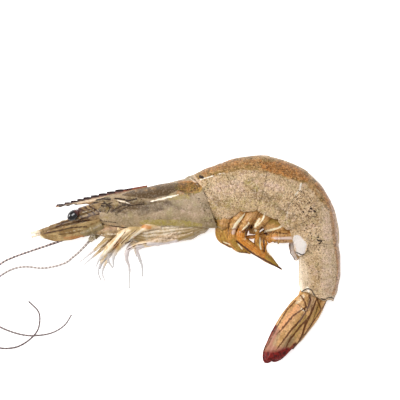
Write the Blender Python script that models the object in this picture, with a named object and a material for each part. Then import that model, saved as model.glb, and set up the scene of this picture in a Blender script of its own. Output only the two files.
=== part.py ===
"""A raw whole prawn, shell on, lying on its right side with its tail curled under.

The animal is one solid: the head shell with its rostrum, six tail segments, the tail fan, walking
legs, swimmerets and the scales and stalks of the face all grow out of one body. The two black eyes
and the two long whips of the antennae are nodes of their own, because their finish differs.

Sizes are in millimetres, turned into Blender's metres by MM. The construction frame has its origin
at the neck, where the head shell meets the tail. X runs back along the animal, Y towards its back,
and Z up from the surface that it lies on, which is also across the animal, from right to left.
At the end everything moves together, so that the origin is the middle of the box's floor.
"""

import math

import bmesh
import bpy
from mathutils import Matrix, Vector

MM = 0.001

# Driving dimensions
HEAD_HEADING = 6.0  # degrees that the head shell's axis climbs towards the neck
HEAD_START = (-39.2, -4.3)  # the axis at the eye socket
HEAD_LENGTH = 43.0  # eye socket to the rear rim of the head shell
TAIL_HEADING = 36.0  # heading of the tail's axis at the neck
SEGMENTS = (
    # length, turn in degrees (negative curls the tail under), half width, side plate depth
    (10.4, -12.0, 7.3, 9.6),
    (12.2, -38.0, 7.6, 9.9),
    (11.7, -19.0, 7.6, 10.0),
    (9.6, -24.0, 7.1, 11.0),
    (10.8, -33.0, 6.3, 9.9),
    (20.2, -4.0, 5.3, 7.0),
)
TAIL_END_WIDTH = 4.7  # half width where the last segment meets the fan
FAN_HEADING = -122.0
FAN_ROOT = (39.0, -34.6)
SUNK = 0.3  # depth of flank that the surface presses flat
SHELL_STEP = 0.45  # how far a segment's rear rim stands over the next
PLATE = 0.8  # thickness of a side plate
EYE_SIZE = (4.4, 3.3, 3.3)
WHIP_GAP = 0.5  # clear space between an antenna and its socket
SLAB = 300.0  # side of the block that cuts the resting flat


# Places and smooth values

def unit(heading):
    """Direction in the XY plane, from a heading in degrees."""
    return Vector((math.cos(math.radians(heading)), math.sin(math.radians(heading)), 0))


def upward(heading):
    """The way towards the animal's back, square to a heading."""
    return unit(heading + 90)


def smoothstep(t):
    t = min(1.0, max(0.0, t))
    return t * t * (3 - 2 * t)


def along(table, t):
    """Smooth value at t from a table of (t, value) pairs."""
    for (t0, v0), (t1, v1) in zip(table, table[1:]):
        if t <= t1:
            return v0 + (v1 - v0) * smoothstep((t - t0) / (t1 - t0))
    return table[-1][1]


def spread(values):
    """A table for along() that has its values evenly between 0 and 1."""
    return [(k / (len(values) - 1), value) for k, value in enumerate(values)]


def spine(s):
    """Point and heading of the tail's axis at arc length s behind the neck. Before it, it is straight."""
    point, heading = Vector((0, 0, 0)), TAIL_HEADING
    if s < 0:
        return point + unit(heading) * s, heading
    for length, turn, _, _ in SEGMENTS:
        run = min(s, length)
        bend = turn * run / length
        half = math.radians(bend / 2)
        chord = run * math.sin(half) / half if run > 0 else 0.0
        point = point + unit(heading + bend / 2) * chord
        heading += bend
        s -= run
        if s <= 0:
            break
    return point + unit(heading) * s, heading


def route_through(points, count):
    """Points evenly spread by length along a smooth Catmull-Rom curve through hand-placed ones."""
    points = [Vector(p) for p in points]
    ends = [points[0] * 2 - points[1], *points, points[-1] * 2 - points[-2]]
    steps = 12
    fine = []
    for i in range(1, len(ends) - 2):
        a, b, c, d = ends[i - 1:i + 3]
        for k in range(steps):
            t = k / steps
            bend = (2 * a - 5 * b + 4 * c - d) * t**2 + (3 * b - a - 3 * c + d) * t**3
            fine.append(b + ((c - a) * t + bend) * 0.5)
    fine.append(points[-1])
    reach = [0.0]
    for p, q in zip(fine, fine[1:]):
        reach.append(reach[-1] + (q - p).length)
    placed, j = [], 0
    for k in range(count):
        want = reach[-1] * k / (count - 1)
        while j < len(reach) - 2 and reach[j + 1] < want:
            j += 1
        share = (want - reach[j]) / (reach[j + 1] - reach[j])
        placed.append(fine[j].lerp(fine[j + 1], min(1.0, share)))
    return placed


# Meshes

def material(name, colour, roughness):
    made = bpy.data.materials.new(name)
    made.use_nodes = True
    shader = made.node_tree.nodes["Principled BSDF"]
    shader.inputs["Base Color"].default_value = (*colour, 1)
    shader.inputs["Roughness"].default_value = roughness
    shader.inputs["Metallic"].default_value = 0
    return made


def as_object(name, mesh, collection):
    bmesh.ops.recalc_face_normals(mesh, faces=mesh.faces)
    data = bpy.data.meshes.new(name)
    mesh.to_mesh(data)
    mesh.free()
    made = bpy.data.objects.new(name, data)
    collection.objects.link(made)
    return made


def loft(name, rings, collection):
    """A closed skin over rings of equally many points, in millimetres, with both ends capped."""
    mesh = bmesh.new()
    rows = [[mesh.verts.new(Vector(p) * MM) for p in ring] for ring in rings]
    count = len(rows[0])
    for low, high in zip(rows, rows[1:]):
        for k in range(count):
            mesh.faces.new((low[k], low[(k + 1) % count], high[(k + 1) % count], high[k]))
    for row in (rows[0], rows[-1]):
        middle = mesh.verts.new(sum((v.co for v in row), Vector()) / count)
        for k in range(count):
            mesh.faces.new((row[k], row[(k + 1) % count], middle))
    return as_object(name, mesh, collection)


def meshed(name, curve, collection):
    """The closed mesh of a curve, with its caps welded on. The curve itself goes."""
    guide = bpy.data.objects.new(name + "_guide", curve)
    collection.objects.link(guide)
    bpy.context.view_layer.update()
    data = bpy.data.meshes.new_from_object(guide.evaluated_get(bpy.context.evaluated_depsgraph_get()))
    mesh = bmesh.new()
    mesh.from_mesh(data)
    mesh.transform(guide.matrix_world)
    bmesh.ops.remove_doubles(mesh, verts=mesh.verts, dist=MM * 0.001)
    bpy.data.objects.remove(guide)
    return mesh


def tube(name, points, radii, collection, rings):
    """A round limb along a smooth route, six-sided, with radii spread evenly along it."""
    curve = bpy.data.curves.new(name, "CURVE")
    curve.dimensions = "3D"
    curve.bevel_depth = MM
    curve.bevel_resolution = 1
    curve.use_fill_caps = True
    line = curve.splines.new("POLY")
    line.points.add(rings - 1)
    for k, (p, place) in enumerate(zip(line.points, route_through(points, rings))):
        p.co = (*(place * MM), 1)
        p.radius = along(spread(radii), k / (rings - 1))
    return as_object(name, meshed(name, curve, collection), collection)


LEAF = ((-1, 0), (-0.6, 0.8), (0, 1), (0.6, 0.8), (1, 0), (0.6, -0.8), (0, -1), (-0.6, -0.8))
THIN_END = 0.35  # share of a leaf's thickness that is left at a tip without width


def blade(name, points, widths, thickness, across, collection, rings=9, cup=0.0):
    """A leaf-shaped plate along a smooth route. widths are half widths, spread evenly along it,
    across is the way that it is broad, and cup bends both edges over, as a share of the half width."""
    route = route_through(points, rings)
    across = Vector(across)
    made = []
    for k, place in enumerate(route):
        ahead = (route[min(k + 1, rings - 1)] - route[max(k - 1, 0)]).normalized()
        wide = (across - ahead * across.dot(ahead)).normalized()
        face = ahead.cross(wide)
        half = along(spread(widths), k / (rings - 1))
        thick = thickness / 2 * min(1.0, THIN_END + half / 2)
        made.append([place + wide * half * u + face * (thick * v - cup * half * u * u) for u, v in LEAF])
    return loft(name, made, collection)


def mirrored(points, side, middle):
    """Points given as (x, y, distance from the mid-plane), put on the left (1) or the right (-1)."""
    return [(x, y, middle + side * out) for x, y, out in points]


SIDES = ((1, "left"), (-1, "right"))


# The tail: six overlapping segments on one curled axis

DORSAL = ((0, 10.0), (5, 9.5), (10, 8.7), (16, 8.9), (23, 10.0), (33, 10.4), (38, 9.7), (44, 8.6),
          (50, 7.6), (55, 7.1), (60, 7.7), (66, 7.9), (71, 7.2), (75, 5.9))
BELLY = ((0, 7.4), (40, 7.4), (50, 6.6), (58, 6.0), (66, 6.0), (71, 5.4), (75, 4.4))
LIP = 0.9  # least depth of a side plate below the belly
NOTCH = 1.7  # how much shallower a side plate is at its ends
KEELS = (0, 0, 0.1, 0.25, 0.35, 0.4)  # ridge along the back of each segment
RING_SHARES = (0.012, 0.12, 0.3, 0.5, 0.7, 0.88, 0.99)


def half_width_at(s):
    """Half width of the tail, smooth from the middle of one segment to the middle of the next."""
    table, start = [(0.0, SEGMENTS[0][2])], 0.0
    for length, _, width, _ in SEGMENTS:
        table.append((start + length / 2, width))
        start += length
    table.append((start, TAIL_END_WIDTH))
    return along(table, s)


def middle_at(s):
    """Height of the tail's mid-plane, which keeps the right flank pressed on the surface all along."""
    return half_width_at(s) - SUNK


def tail_section(s, plate, lift, keel):
    """(up, left) points round the tail: arched back, flanks, and side plates that hang past the belly."""
    back, belly, width = along(DORSAL, s) + lift, along(BELLY, s), half_width_at(s) + lift
    half = []
    for k in range(8):
        a = math.radians(12.7 * k)
        half.append((back * math.cos(a) + (keel if k == 0 else 0), width * math.sin(a) ** 0.92))
    depth = max(belly + LIP, plate + lift)
    half += [(-0.35 * depth, width * 0.985), (-0.7 * depth, width * 0.93), (-depth, width * 0.84)]
    half += [(-depth + 0.1, width * 0.84 - PLATE), (-belly, width * 0.80 - PLATE - 0.3)]
    half += [(-belly - 0.4, width * 0.4)]
    return half + [(-belly - 0.5, 0.0)] + [(up, -left) for up, left in reversed(half[1:])]


def tail_ring(s, plate, lift, keel=0.0):
    centre, heading = spine(s)
    up, middle = upward(heading), middle_at(s)
    return [
        (centre.x + up.x * u, centre.y + up.y * u, middle + w)
        for u, w in tail_section(s, plate, lift, keel)
    ]


def build_tail(collection):
    """One skin over all segments. Each starts sunk under the one before and ends in a raised rear rim."""
    rings = [tail_ring(s, 6.0, -1.6) for s in (-5.5, -3.0)]
    start = 0.0
    for (length, _, _, plate), keel in zip(SEGMENTS, KEELS):
        for share in RING_SHARES:
            lobe = 1 - (2 * share - 1) ** 4
            sunk = SHELL_STEP * (1 - smoothstep(share / 0.3))
            raised = 0.1 * smoothstep((share - 0.7) / 0.3)
            rings.append(tail_ring(start + length * share, plate - NOTCH * (1 - lobe), raised - sunk, keel))
        start += length
    rings.append(tail_ring(start + 0.3, 4.0, -1.2))
    return loft("tail", rings, collection)


# The head

HEAD_BACK = ((-1.5, 4.0), (1.5, 6.1), (8, 7.1), (16, 7.4), (26, 7.7), (33, 8.5), (38, 9.5), (43, 9.9))
HEAD_RIM = ((-1.5, 3.2), (1.5, 4.4), (6, 6.2), (13, 7.5), (24, 7.7), (34, 9.0), (43, 10.4))
HEAD_WIDTH = ((-1.5, 3.1), (1.5, 3.9), (8, 5.0), (18, 6.3), (30, 7.2), (43, 7.5))
HEAD_STATIONS = (-1.5, 0, 1.5, 4, 7, 10, 13, 17, 21, 25, 29, 33, 36, 39, 41.5, HEAD_LENGTH)
HEAD_MIDDLE = SEGMENTS[0][2] - SUNK  # height of the head's mid-plane
REAR_SLANT = 0.24  # how much the rear rim leans forward from belly to back


def head_spot(s, up, left):
    """A place in the head: s behind the eye socket, up towards the back, left of the mid-plane."""
    place = Vector((*HEAD_START, 0)) + unit(HEAD_HEADING) * s + upward(HEAD_HEADING) * up
    return Vector((place.x, place.y, HEAD_MIDDLE + left))


def head_ring(s, shrink=0.0):
    back, rim, width = [along(table, s) - shrink for table in (HEAD_BACK, HEAD_RIM, HEAD_WIDTH)]
    half = [(back, 0.0)]
    for k in range(1, 6):
        a = math.radians(15 * k)
        half.append((back * math.cos(a) ** 0.9, width * math.sin(a) ** 1.05))
    half += [(0, width), (-0.4 * rim, width), (-0.75 * rim, width * 0.94), (-rim, width * 0.80)]
    half += [(-rim + 0.1, width * 0.80 - PLATE), (-0.8 * rim, width * 0.3)]
    points = half + [(-0.78 * rim, 0.0)] + [(up, -left) for up, left in reversed(half[1:])]
    slant = REAR_SLANT * smoothstep((s - 30) / (HEAD_LENGTH - 30))
    return [head_spot(s - slant * (up + rim), up, left) for up, left in points]


def build_head_shell(collection):
    tucked_in = head_ring(HEAD_LENGTH + 0.2, 1.5)
    return loft("head_shell", [head_ring(s) for s in HEAD_STATIONS] + [tucked_in], collection)


BREAST = (
    # s, top, bottom, half width: the block that the walking legs grow from, below the shell's rim
    (6, -4.5, -7.6, 2.4), (11, -5.0, -11.6, 3.6), (18, -5.0, -13.8, 4.4), (26, -5.0, -14.0, 4.9),
    (33, -5.0, -13.6, 4.9), (38, -5.0, -11.8, 4.4), (42, -4.5, -9.2, 3.4),
)


def build_breast(collection):
    rings = []
    for s, top, bottom, width in BREAST:
        middle, half = (top + bottom) / 2, (top - bottom) / 2
        angles = [math.radians(30 * k) for k in range(12)]
        rings.append([head_spot(s, middle + half * math.cos(a), width * math.sin(a)) for a in angles])
    return loft("breast", rings, collection)


ROSTRUM_TIP = (-53.6, -2.5)
ROSTRUM_END = (-20.5, 5.2)
ROSTRUM_WIDE = 1.2
TOOTH_POINTS = (0.9, 3.6, 6.0, 8.3, 10.6, 13.4, 16.3, 19.3, 22.4, 25.6)  # from the tip; the last ends the row
TOOTH_RISE = 0.55
ROSTRUM_UNDERSIDE = ((33.9, -2.2), (20, -2.7), (14, -2.5), (10.4, -1.35), (7.9, -1.1), (6.4, -0.55),
                     (4.6, -0.8), (3.5, -0.35), (1.9, -0.55))


def build_rostrum(collection):
    """The toothed blade over the eyes: a flat outline worked out tooth by tooth, thinner at its tip."""
    tip, end = Vector(ROSTRUM_TIP), Vector(ROSTRUM_END)
    ahead = (end - tip).normalized()
    above = Vector((-ahead.y, ahead.x))
    outline = [(0, 0)]
    for point, following in zip(TOOTH_POINTS, TOOTH_POINTS[1:]):
        crest = 0.25 + 0.35 * smoothstep(point / 14)
        outline += [(point, crest + TOOTH_RISE), (point + 0.62 * (following - point), crest + 0.4),
                    (following - 0.1, crest + 0.05)]
    outline += [(29, 0.55), ((end - tip).length, 0.1), *ROSTRUM_UNDERSIDE]
    curve = bpy.data.curves.new("rostrum", "CURVE")
    curve.dimensions = "2D"
    curve.fill_mode = "BOTH"
    curve.extrude = ROSTRUM_WIDE / 2 * MM
    line = curve.splines.new("POLY")
    line.points.add(len(outline) - 1)
    for p, (reach, rise) in zip(line.points, outline):
        place = (tip + ahead * reach + above * rise) * MM
        p.co = (place.x, place.y, 0, 1)
    line.use_cyclic_u = True
    mesh = meshed("rostrum", curve, collection)
    for v in mesh.verts:
        reach = (v.co.xy / MM - tip).dot(ahead)
        v.co.z = v.co.z * (0.45 + 0.55 * smoothstep(reach / 16)) + HEAD_MIDDLE * MM
    return as_object("rostrum", mesh, collection)


# The face: stalks, feelers, scales and jaws, each given as (x, y, distance from the mid-plane)

EYE_PLACE = (-46.8, -5.4, 4.7)
EYE_TILT = 38.0
FACE_TUBES = {
    # name: route, radii, rings
    "eyestalk": (((-36, -2.4, 1.4), (-40.5, -2.6, 2.6), (-43.9, -3.3, 4.1)), (1.5, 1.3, 1.15), 5),
    "feeler": (((-37, -5.2, 1.5), (-46, -7.3, 1.5), (-51.4, -8.9, 1.5), (-57.2, -10.7, 1.2)),
               (1.8, 1.4, 1.2, 0.8), 9),
    "feeler_upper_tip": (((-56.6, -10.5, 1.2), (-59.6, -11.4, 1.9), (-62.3, -11.8, 2.0)), (0.45, 0.25), 4),
    "feeler_lower_tip": (((-56.6, -11.0, 1.2), (-59.6, -12.3, 1.0), (-62.0, -13.3, 1.1)), (0.45, 0.25), 4),
}
SCALE_ROUTE = ((-37, -8.4, 3.0), (-44, -10.6, 3.9), (-51, -12.2, 3.9), (-58.6, -13.0, 3.1))
SCALE_WIDTHS = (2.0, 2.5, 2.6, 2.4, 1.2)
JAW_ROUTE = ((-39.5, -11.0, 2.4), (-34.5, -11.0, 2.9), (-28.5, -10.4, 2.6))
JAW_WIDTHS = (1.3, 2.5, 2.5)
SOCKET_ROUTES = {
    # where each antenna's stout root runs, from the head out to the socket of its whip
    "left": ((-36.5, -9.0, 9.5), (-41.5, -11.2, 9.9), (-46.4, -12.8, 9.7)),
    "right": ((-35.5, -9.0, 4.9), (-38.6, -11.8, 4.4), (-41.2, -14.6, 3.9)),
}


def build_face(collection):
    for side, word in SIDES:
        for name, (route, radii, rings) in FACE_TUBES.items():
            tube(f"{name}_{word}", mirrored(route, side, HEAD_MIDDLE), radii, collection, rings)
        scale = mirrored(SCALE_ROUTE, side, HEAD_MIDDLE)
        blade(f"scale_{word}", scale, SCALE_WIDTHS, 0.8, (0.25, 1, side * 0.3), collection, 9, 0.12 * side)
        jaw = mirrored(JAW_ROUTE, side, HEAD_MIDDLE)
        blade(f"jaw_{word}", jaw, JAW_WIDTHS, 2.4, (0, 1, 0), collection, 5)
        tube(f"antenna_root_{word}", SOCKET_ROUTES[word], (2.0, 1.7, 0.9), collection, 6)


# Limbs

LEGS = {
    # name: route of the left one from hip to tip, radii
    "mouth_leg": (((-30.2, -10.0, 10.4), (-34.9, -14.0, 8.2), (-38.9, -17.6, 5.2), (-42.1, -20.1, 3.0),
                   (-45.4, -22.7, 1.4)), (0.9, 0.95, 0.7, 0.4, 0.22)),
    "leg_1": (((-25.8, -9.8, 10.8), (-29.9, -12.2, 10.2), (-34.2, -16.6, 7.6), (-36.4, -20.9, 4.4),
               (-38.3, -25.6, 1.9), (-37.4, -29.2, 1.0)), (0.9, 1.0, 0.8, 0.55, 0.4, 0.28)),
    "leg_2": (((-21.4, -9.8, 11.0), (-27.4, -11.4, 11.4), (-32.0, -15.5, 9.6), (-36.0, -19.4, 6.2),
               (-38.2, -22.0, 3.8), (-39.2, -24.5, 2.2)), (0.95, 1.1, 0.9, 0.65, 0.45, 0.28)),
    "leg_3": (((-15.5, -9.6, 11.0), (-20.7, -9.9, 12.2), (-26.6, -13.0, 11.4), (-31.0, -17.6, 8.2),
               (-32.6, -20.5, 5.6), (-32.8, -24.1, 3.4)), (1.0, 1.1, 1.0, 0.8, 0.6, 0.3)),
    "leg_4": (((-9.5, -11.6, 10.6), (-17.0, -14.4, 10.6), (-26.3, -17.1, 9.0), (-27.9, -20.9, 6.6),
               (-27.0, -24.5, 4.2), (-27.0, -32.0, 1.0)), (1.3, 1.25, 0.9, 0.5, 0.36, 0.24)),
    "leg_5": (((-3.8, -11.6, 10.2), (-13.0, -14.6, 10.0), (-23.6, -17.0, 8.4), (-23.4, -20.5, 6.0),
               (-22.4, -23.8, 3.6), (-22.3, -27.7, 1.4)), (1.4, 1.3, 0.95, 0.55, 0.4, 0.26)),
}
FAR_LEG_SHIFT = (1.6, -0.8)
FAR_LEG_HEIGHT = 0.36  # a right leg's height, as a share of its left twin's
LOWEST_LEG = 0.9


def build_walking_legs(collection):
    """Five pairs and the leg-like mouthparts before them. The right ones lie folded under the left."""
    for name, (route, radii) in LEGS.items():
        tube(f"{name}_left", route, radii, collection, 12)
        far = []
        for x, y, z in route:
            splay = 0.08 * (x + 30)
            height = max(LOWEST_LEG, FAR_LEG_HEIGHT * z)
            far.append((x + FAR_LEG_SHIFT[0], y + FAR_LEG_SHIFT[1] + splay, height))
        tube(f"{name}_right", far, radii, collection, 12)


SWIMMERETS = (
    # stem from hip to knee, its radii, blade route, half widths, distance from the mid-plane at the knee
    # and how far the right one is shifted, so that it shows past the left
    (((7.6, -2.6), (6.6, -9.4)), (2.4, 2.9, 2.3),
     ((6.6, -8.8), (6.9, -12.6), (9.2, -15.4), (13.0, -16.9)), (2.6, 2.7, 1.6, 0.4), 4.0, (1.2, 0)),
    (((14.6, -2.0), (10.2, -9.6)), (1.8, 2.1, 1.6),
     ((10.3, -9.0), (9.8, -13.0), (11.4, -16.8), (16.6, -19.2)), (1.4, 1.6, 1.3, 0.35), 4.2, (1.2, 0)),
    (((19.6, -1.6), (13.6, -10.4)), (1.8, 2.1, 1.5),
     ((13.7, -9.8), (13.2, -14.2), (18.6, -18.4), (27.9, -24.9)), (1.5, 1.8, 1.6, 0.35), 4.2, (1.2, 0)),
    (((25.4, -3.0), (18.4, -9.6)), (1.8, 2.1, 1.5),
     ((18.4, -9.0), (16.0, -13.2), (18.7, -17.4), (24.2, -21.0)), (1.3, 1.4, 1.2, 0.35), 3.9, (4.6, -0.6)),
    (((32.0, -8.6), (24.4, -13.2)), (1.9, 1.9, 1.4),
     ((24.8, -12.8), (21.2, -15.4), (21.6, -19.0), (26.6, -23.6)), (1.3, 1.5, 1.3, 0.35), 3.6, (0.4, -2.2)),
)
SEGMENT_PITCH = 10.0
HIP_INSET = 1.4  # how much nearer to the mid-plane a hip is than its knee
LOWEST_PADDLE = 1.0


def build_swimmerets(collection):
    """Five pairs of paddles under the tail: a stout stem each, then a tapering blade swept back."""
    for number, (stem, radii, paddle, widths, out, far_shift) in enumerate(SWIMMERETS, start=1):
        middle = middle_at(SEGMENT_PITCH * number)
        for side, word in SIDES:
            dx, dy = (0, 0) if side > 0 else far_shift
            outs = (out - HIP_INSET, out)
            hip, knee = [Vector((x + dx, y + dy, middle + side * o)) for (x, y), o in zip(stem, outs)]
            tube(f"stem_{number}_{word}", (hip, (hip + knee) / 2, knee), radii, collection, 5)
            route = []
            for k, (x, y) in enumerate(paddle):
                apart = 1 - k / (len(paddle) - 1)
                height = max(LOWEST_PADDLE, middle + side * (out - 0.7 - 0.5 * k))
                route.append((x + dx * apart, y + dy * apart, height))
            blade(f"paddle_{number}_{word}", route, widths, 1.3, (1, 0.6, 0.15 * side), collection, 8)


FLAP_ROUTE = ((34.8, -12.5, 5.5), (34.7, -16.5, 5.3), (34.6, -20.0, 4.6))
FLAP_WIDTHS = (2.4, 2.9, 2.4, 0.9)
FAR_FLAP_SHIFT = (-1.2, -1.6)


def build_flaps(collection):
    """The fifth segment's side plates, whose rounded rear ends lie over the front of the sixth."""
    for side, word in SIDES:
        dx, dy = (0, 0) if side > 0 else FAR_FLAP_SHIFT
        route = [(x + dx, y + dy, z) for x, y, z in mirrored(FLAP_ROUTE, side, SEGMENTS[4][2] - SUNK)]
        blade(f"flap_{word}", route, FLAP_WIDTHS, PLATE, (1, 0, 0.25 * side), collection, 7)


TELSON = ((-3, 2.6, 0), (5, 4.0, 0), (12, 4.2, 0), (20, 3.9, 0))
FAN_CORE = ((-3, 0, 0), (1.5, -0.2, 0), (5, -0.4, 0))
INNER_BLADE = ((0, 0.6, 2.6), (8, 1.9, 3.3), (16, 2.1, 3.2), (26.6, 0.5, 2.0))
OUTER_BLADE = ((0, -2.4, 2.8), (8, -2.7, 3.8), (18, -2.4, 3.6), (28.4, -1.5, 1.8))
INNER_WIDTHS = (1.5, 2.3, 2.9, 2.8, 1.9, 0.8)
OUTER_WIDTHS = (1.8, 2.8, 3.3, 3.3, 2.6, 1.0)
FAR_BLADE_SHIFT = 1.2  # how much further the right blades reach, so that they show past the left


def build_fan(collection):
    """The folded tail fan: a pointed middle spine with an inner and an outer blade on each side."""
    ahead, back = unit(FAN_HEADING), upward(FAN_HEADING)
    root = Vector((*FAN_ROOT, TAIL_END_WIDTH))

    def fan_route(points, side=1):
        reach = 0 if side > 0 else FAR_BLADE_SHIFT
        return [root + ahead * (s + reach) + back * up + Vector((0, 0, side * out)) for s, up, out in points]

    blade("telson", fan_route(TELSON), (2.6, 2.2, 1.6, 0.35), 1.8, (0, 0, 1), collection, 9, 0.2)
    blade("fan_core", fan_route(FAN_CORE), (4.2, 3.8, 2.4), 6.0, back, collection, 5)
    for side, word in SIDES:
        lean, cup = Vector((0, 0, side * 0.3)), 0.1 * side
        inner, outer = fan_route(INNER_BLADE, side), fan_route(OUTER_BLADE, side)
        blade(f"inner_blade_{word}", inner, INNER_WIDTHS, 0.9, back - lean, collection, 9, cup)
        blade(f"outer_blade_{word}", outer, OUTER_WIDTHS, 1.0, back + lean, collection, 9, cup)


# Joining and placing

def fill_pockets(data):
    """Keeps the one outer skin: a pocket sealed between two joined pieces becomes solid."""
    mesh = bmesh.new()
    mesh.from_mesh(data)
    skins, waiting = [], set(mesh.verts)
    while waiting:
        skin, front = set(), [waiting.pop()]
        while front:
            place = front.pop()
            skin.add(place)
            near = {edge.other_vert(place) for edge in place.link_edges} & waiting
            waiting -= near
            front.extend(near)
        skins.append(skin)
    outer = max(skins, key=len)
    bmesh.ops.delete(mesh, geom=[v for v in mesh.verts if v not in outer], context="VERTS")
    mesh.to_mesh(data)
    mesh.free()


def build_surface():
    """The block below the surface that the prawn lies on, which cuts its flat."""
    bpy.ops.mesh.primitive_cube_add(size=SLAB * MM, location=(0, 0, -SLAB / 2 * MM))
    slab = bpy.context.object
    slab.display_type = "WIRE"
    slab.hide_render = True
    return slab


def fuse(parts, name, finish):
    """One solid from everything that grows together, cut flat where it rests."""
    tail, slab = parts.objects["tail"], build_surface()
    parts.objects.unlink(tail)
    bpy.context.scene.collection.objects.link(tail)
    join = tail.modifiers.new("join", "BOOLEAN")
    join.operation, join.operand_type, join.collection = "UNION", "COLLECTION", parts
    join.solver = "MANIFOLD"
    rest = tail.modifiers.new("rest", "BOOLEAN")
    rest.operation, rest.object, rest.solver = "DIFFERENCE", slab, "MANIFOLD"
    bpy.context.view_layer.update()
    data = bpy.data.meshes.new_from_object(tail.evaluated_get(bpy.context.evaluated_depsgraph_get()))
    for piece in [*parts.objects, tail, slab]:
        bpy.data.objects.remove(piece)
    bpy.data.collections.remove(parts)
    fill_pockets(data)
    data.materials.clear()
    data.materials.append(finish)
    data.shade_smooth()
    data.set_sharp_from_angle(angle=math.radians(35))
    return bpy.data.objects.new(name, data)


def build_eye(side, word, finish):
    """A glossy bead, longer than it is high, on the end of its stalk."""
    bpy.ops.mesh.primitive_uv_sphere_add(segments=16, ring_count=10, radius=0.5)
    eye = bpy.context.object
    eye.name = eye.data.name = f"eye_{word}"
    turn = Matrix.Rotation(math.radians(EYE_TILT), 4, "Z")
    size = Matrix.Diagonal((*(Vector(EYE_SIZE) * MM), 1))
    (place,) = mirrored([EYE_PLACE], side, HEAD_MIDDLE)
    eye.data.transform(Matrix.Translation(Vector(place) * MM) @ turn @ size)
    eye.data.materials.append(finish)
    eye.data.shade_smooth()
    bpy.context.collection.objects.unlink(eye)
    return eye


WHIPS = {
    "left": ((-54.4, -15.7, 6.6), (-65.1, -19.3, 2.9), (-70.2, -21.2, 1.5), (-73.4, -22.9, 0.9),
             (-79.5, -27.6, 0.4), (-85.0, -34.5, 0.35), (-85.8, -42.5, 0.35), (-81.5, -50.0, 0.35),
             (-75.0, -53.5, 0.35), (-68.7, -53.5, 0.45), (-63.9, -51.1, 1.1), (-60.5, -47.5, 1.1),
             (-59.6, -43.5, 0.4), (-60.3, -40.2, 0.35), (-63.6, -36.8, 0.6)),
    "right": ((-44.6, -18.2, 2.6), (-47.4, -20.6, 1.5), (-50.8, -23.0, 0.7), (-57.9, -24.7, 0.4),
              (-64.5, -24.2, 0.4), (-69.0, -24.9, 0.4), (-73.4, -27.2, 0.4), (-78.6, -31.6, 0.35),
              (-80.6, -37.4, 0.35), (-78.0, -43.2, 0.35), (-73.4, -46.4, 0.35), (-66.9, -48.7, 0.3),
              (-61.5, -49.2, 0.3), (-55.5, -48.3, 0.3), (-50.8, -45.6, 0.3), (-48.1, -41.7, 0.45)),
}
WHIP_RADII = (0.46, 0.36, 0.3, 0.26, 0.22)


def build_antenna(word, finish, collection):
    """A whip that leaves its socket, sinks to the surface and loops back beside the head."""
    socket, first = Vector(SOCKET_ROUTES[word][-1]), Vector(WHIPS[word][0])
    start = socket + (first - socket).normalized() * WHIP_GAP
    made = tube(f"antenna_{word}", (start, *WHIPS[word]), WHIP_RADII, collection, 52)
    made.data.materials.append(finish)
    made.data.shade_smooth()
    return made


def centre_on_floor(nodes):
    """Moves all the nodes alike, so that the origin is the middle of the floor of their box."""
    corners = [v.co for node in nodes for v in node.data.vertices]
    low = Vector([min(c[i] for c in corners) for i in range(3)])
    high = Vector([max(c[i] for c in corners) for i in range(3)])
    shift = Matrix.Translation((-(low.x + high.x) / 2, -(low.y + high.y) / 2, -low.z))
    for node in nodes:
        node.data.transform(shift)


def main():
    for thing in list(bpy.data.objects):
        bpy.data.objects.remove(thing)
    prawn = bpy.data.collections.new("prawn")
    grown = bpy.data.collections.new("grown_together")
    for group in (prawn, grown):
        bpy.context.scene.collection.children.link(group)
    shell = material("shell", (0.50, 0.42, 0.32), 0.35)
    black = material("eye_black", (0.02, 0.015, 0.015), 0.1)
    whip = material("antenna_brown", (0.30, 0.20, 0.17), 0.4)

    for build in (build_tail, build_head_shell, build_breast, build_rostrum, build_face,
                  build_walking_legs, build_swimmerets, build_flaps, build_fan):
        build(grown)
    nodes = [fuse(grown, "prawn_body", shell)]
    nodes += [build_eye(side, word, black) for side, word in SIDES]
    for node in nodes:
        prawn.objects.link(node)
    nodes += [build_antenna(word, whip, prawn) for _, word in SIDES]
    centre_on_floor(nodes)


main()
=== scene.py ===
"""The looks of a raw whole prawn that lies on its right side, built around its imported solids.

Places are in millimetres from the neck, where the head shell meets the tail: x runs back along
the animal, y towards its back, and z up from the floor. The left side faces up.
"""

import math

import bpy
import numpy as np
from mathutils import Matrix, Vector


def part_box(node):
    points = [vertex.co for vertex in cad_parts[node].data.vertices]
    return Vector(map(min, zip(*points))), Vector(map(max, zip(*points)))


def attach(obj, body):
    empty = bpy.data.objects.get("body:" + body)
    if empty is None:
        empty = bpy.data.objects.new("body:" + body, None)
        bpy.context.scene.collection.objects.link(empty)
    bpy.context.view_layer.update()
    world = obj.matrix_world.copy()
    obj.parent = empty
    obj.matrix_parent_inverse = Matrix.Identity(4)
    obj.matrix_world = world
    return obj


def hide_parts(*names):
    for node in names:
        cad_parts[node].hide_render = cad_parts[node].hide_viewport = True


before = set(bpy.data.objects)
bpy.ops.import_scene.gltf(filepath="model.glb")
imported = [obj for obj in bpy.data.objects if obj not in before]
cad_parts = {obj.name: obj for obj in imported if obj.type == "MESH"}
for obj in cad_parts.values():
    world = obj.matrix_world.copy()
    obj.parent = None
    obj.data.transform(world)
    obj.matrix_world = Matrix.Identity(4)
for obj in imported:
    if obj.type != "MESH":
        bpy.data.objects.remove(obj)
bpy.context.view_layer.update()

# Tail shell
# The tail is six overlapping rings of thin chitin, each hinged to the next by soft membrane.
# Every ring ends in a free rear rim that slides over the one behind, and hangs down in side plates.

MM = 0.001
LEFT_EYE = np.array((-46.8, -5.4, 11.7))  # the left eye's middle, from the neck
eye_low, eye_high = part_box("eye_left")
NECK = np.array((eye_low + eye_high) / 2) / MM - LEFT_EYE

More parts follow.
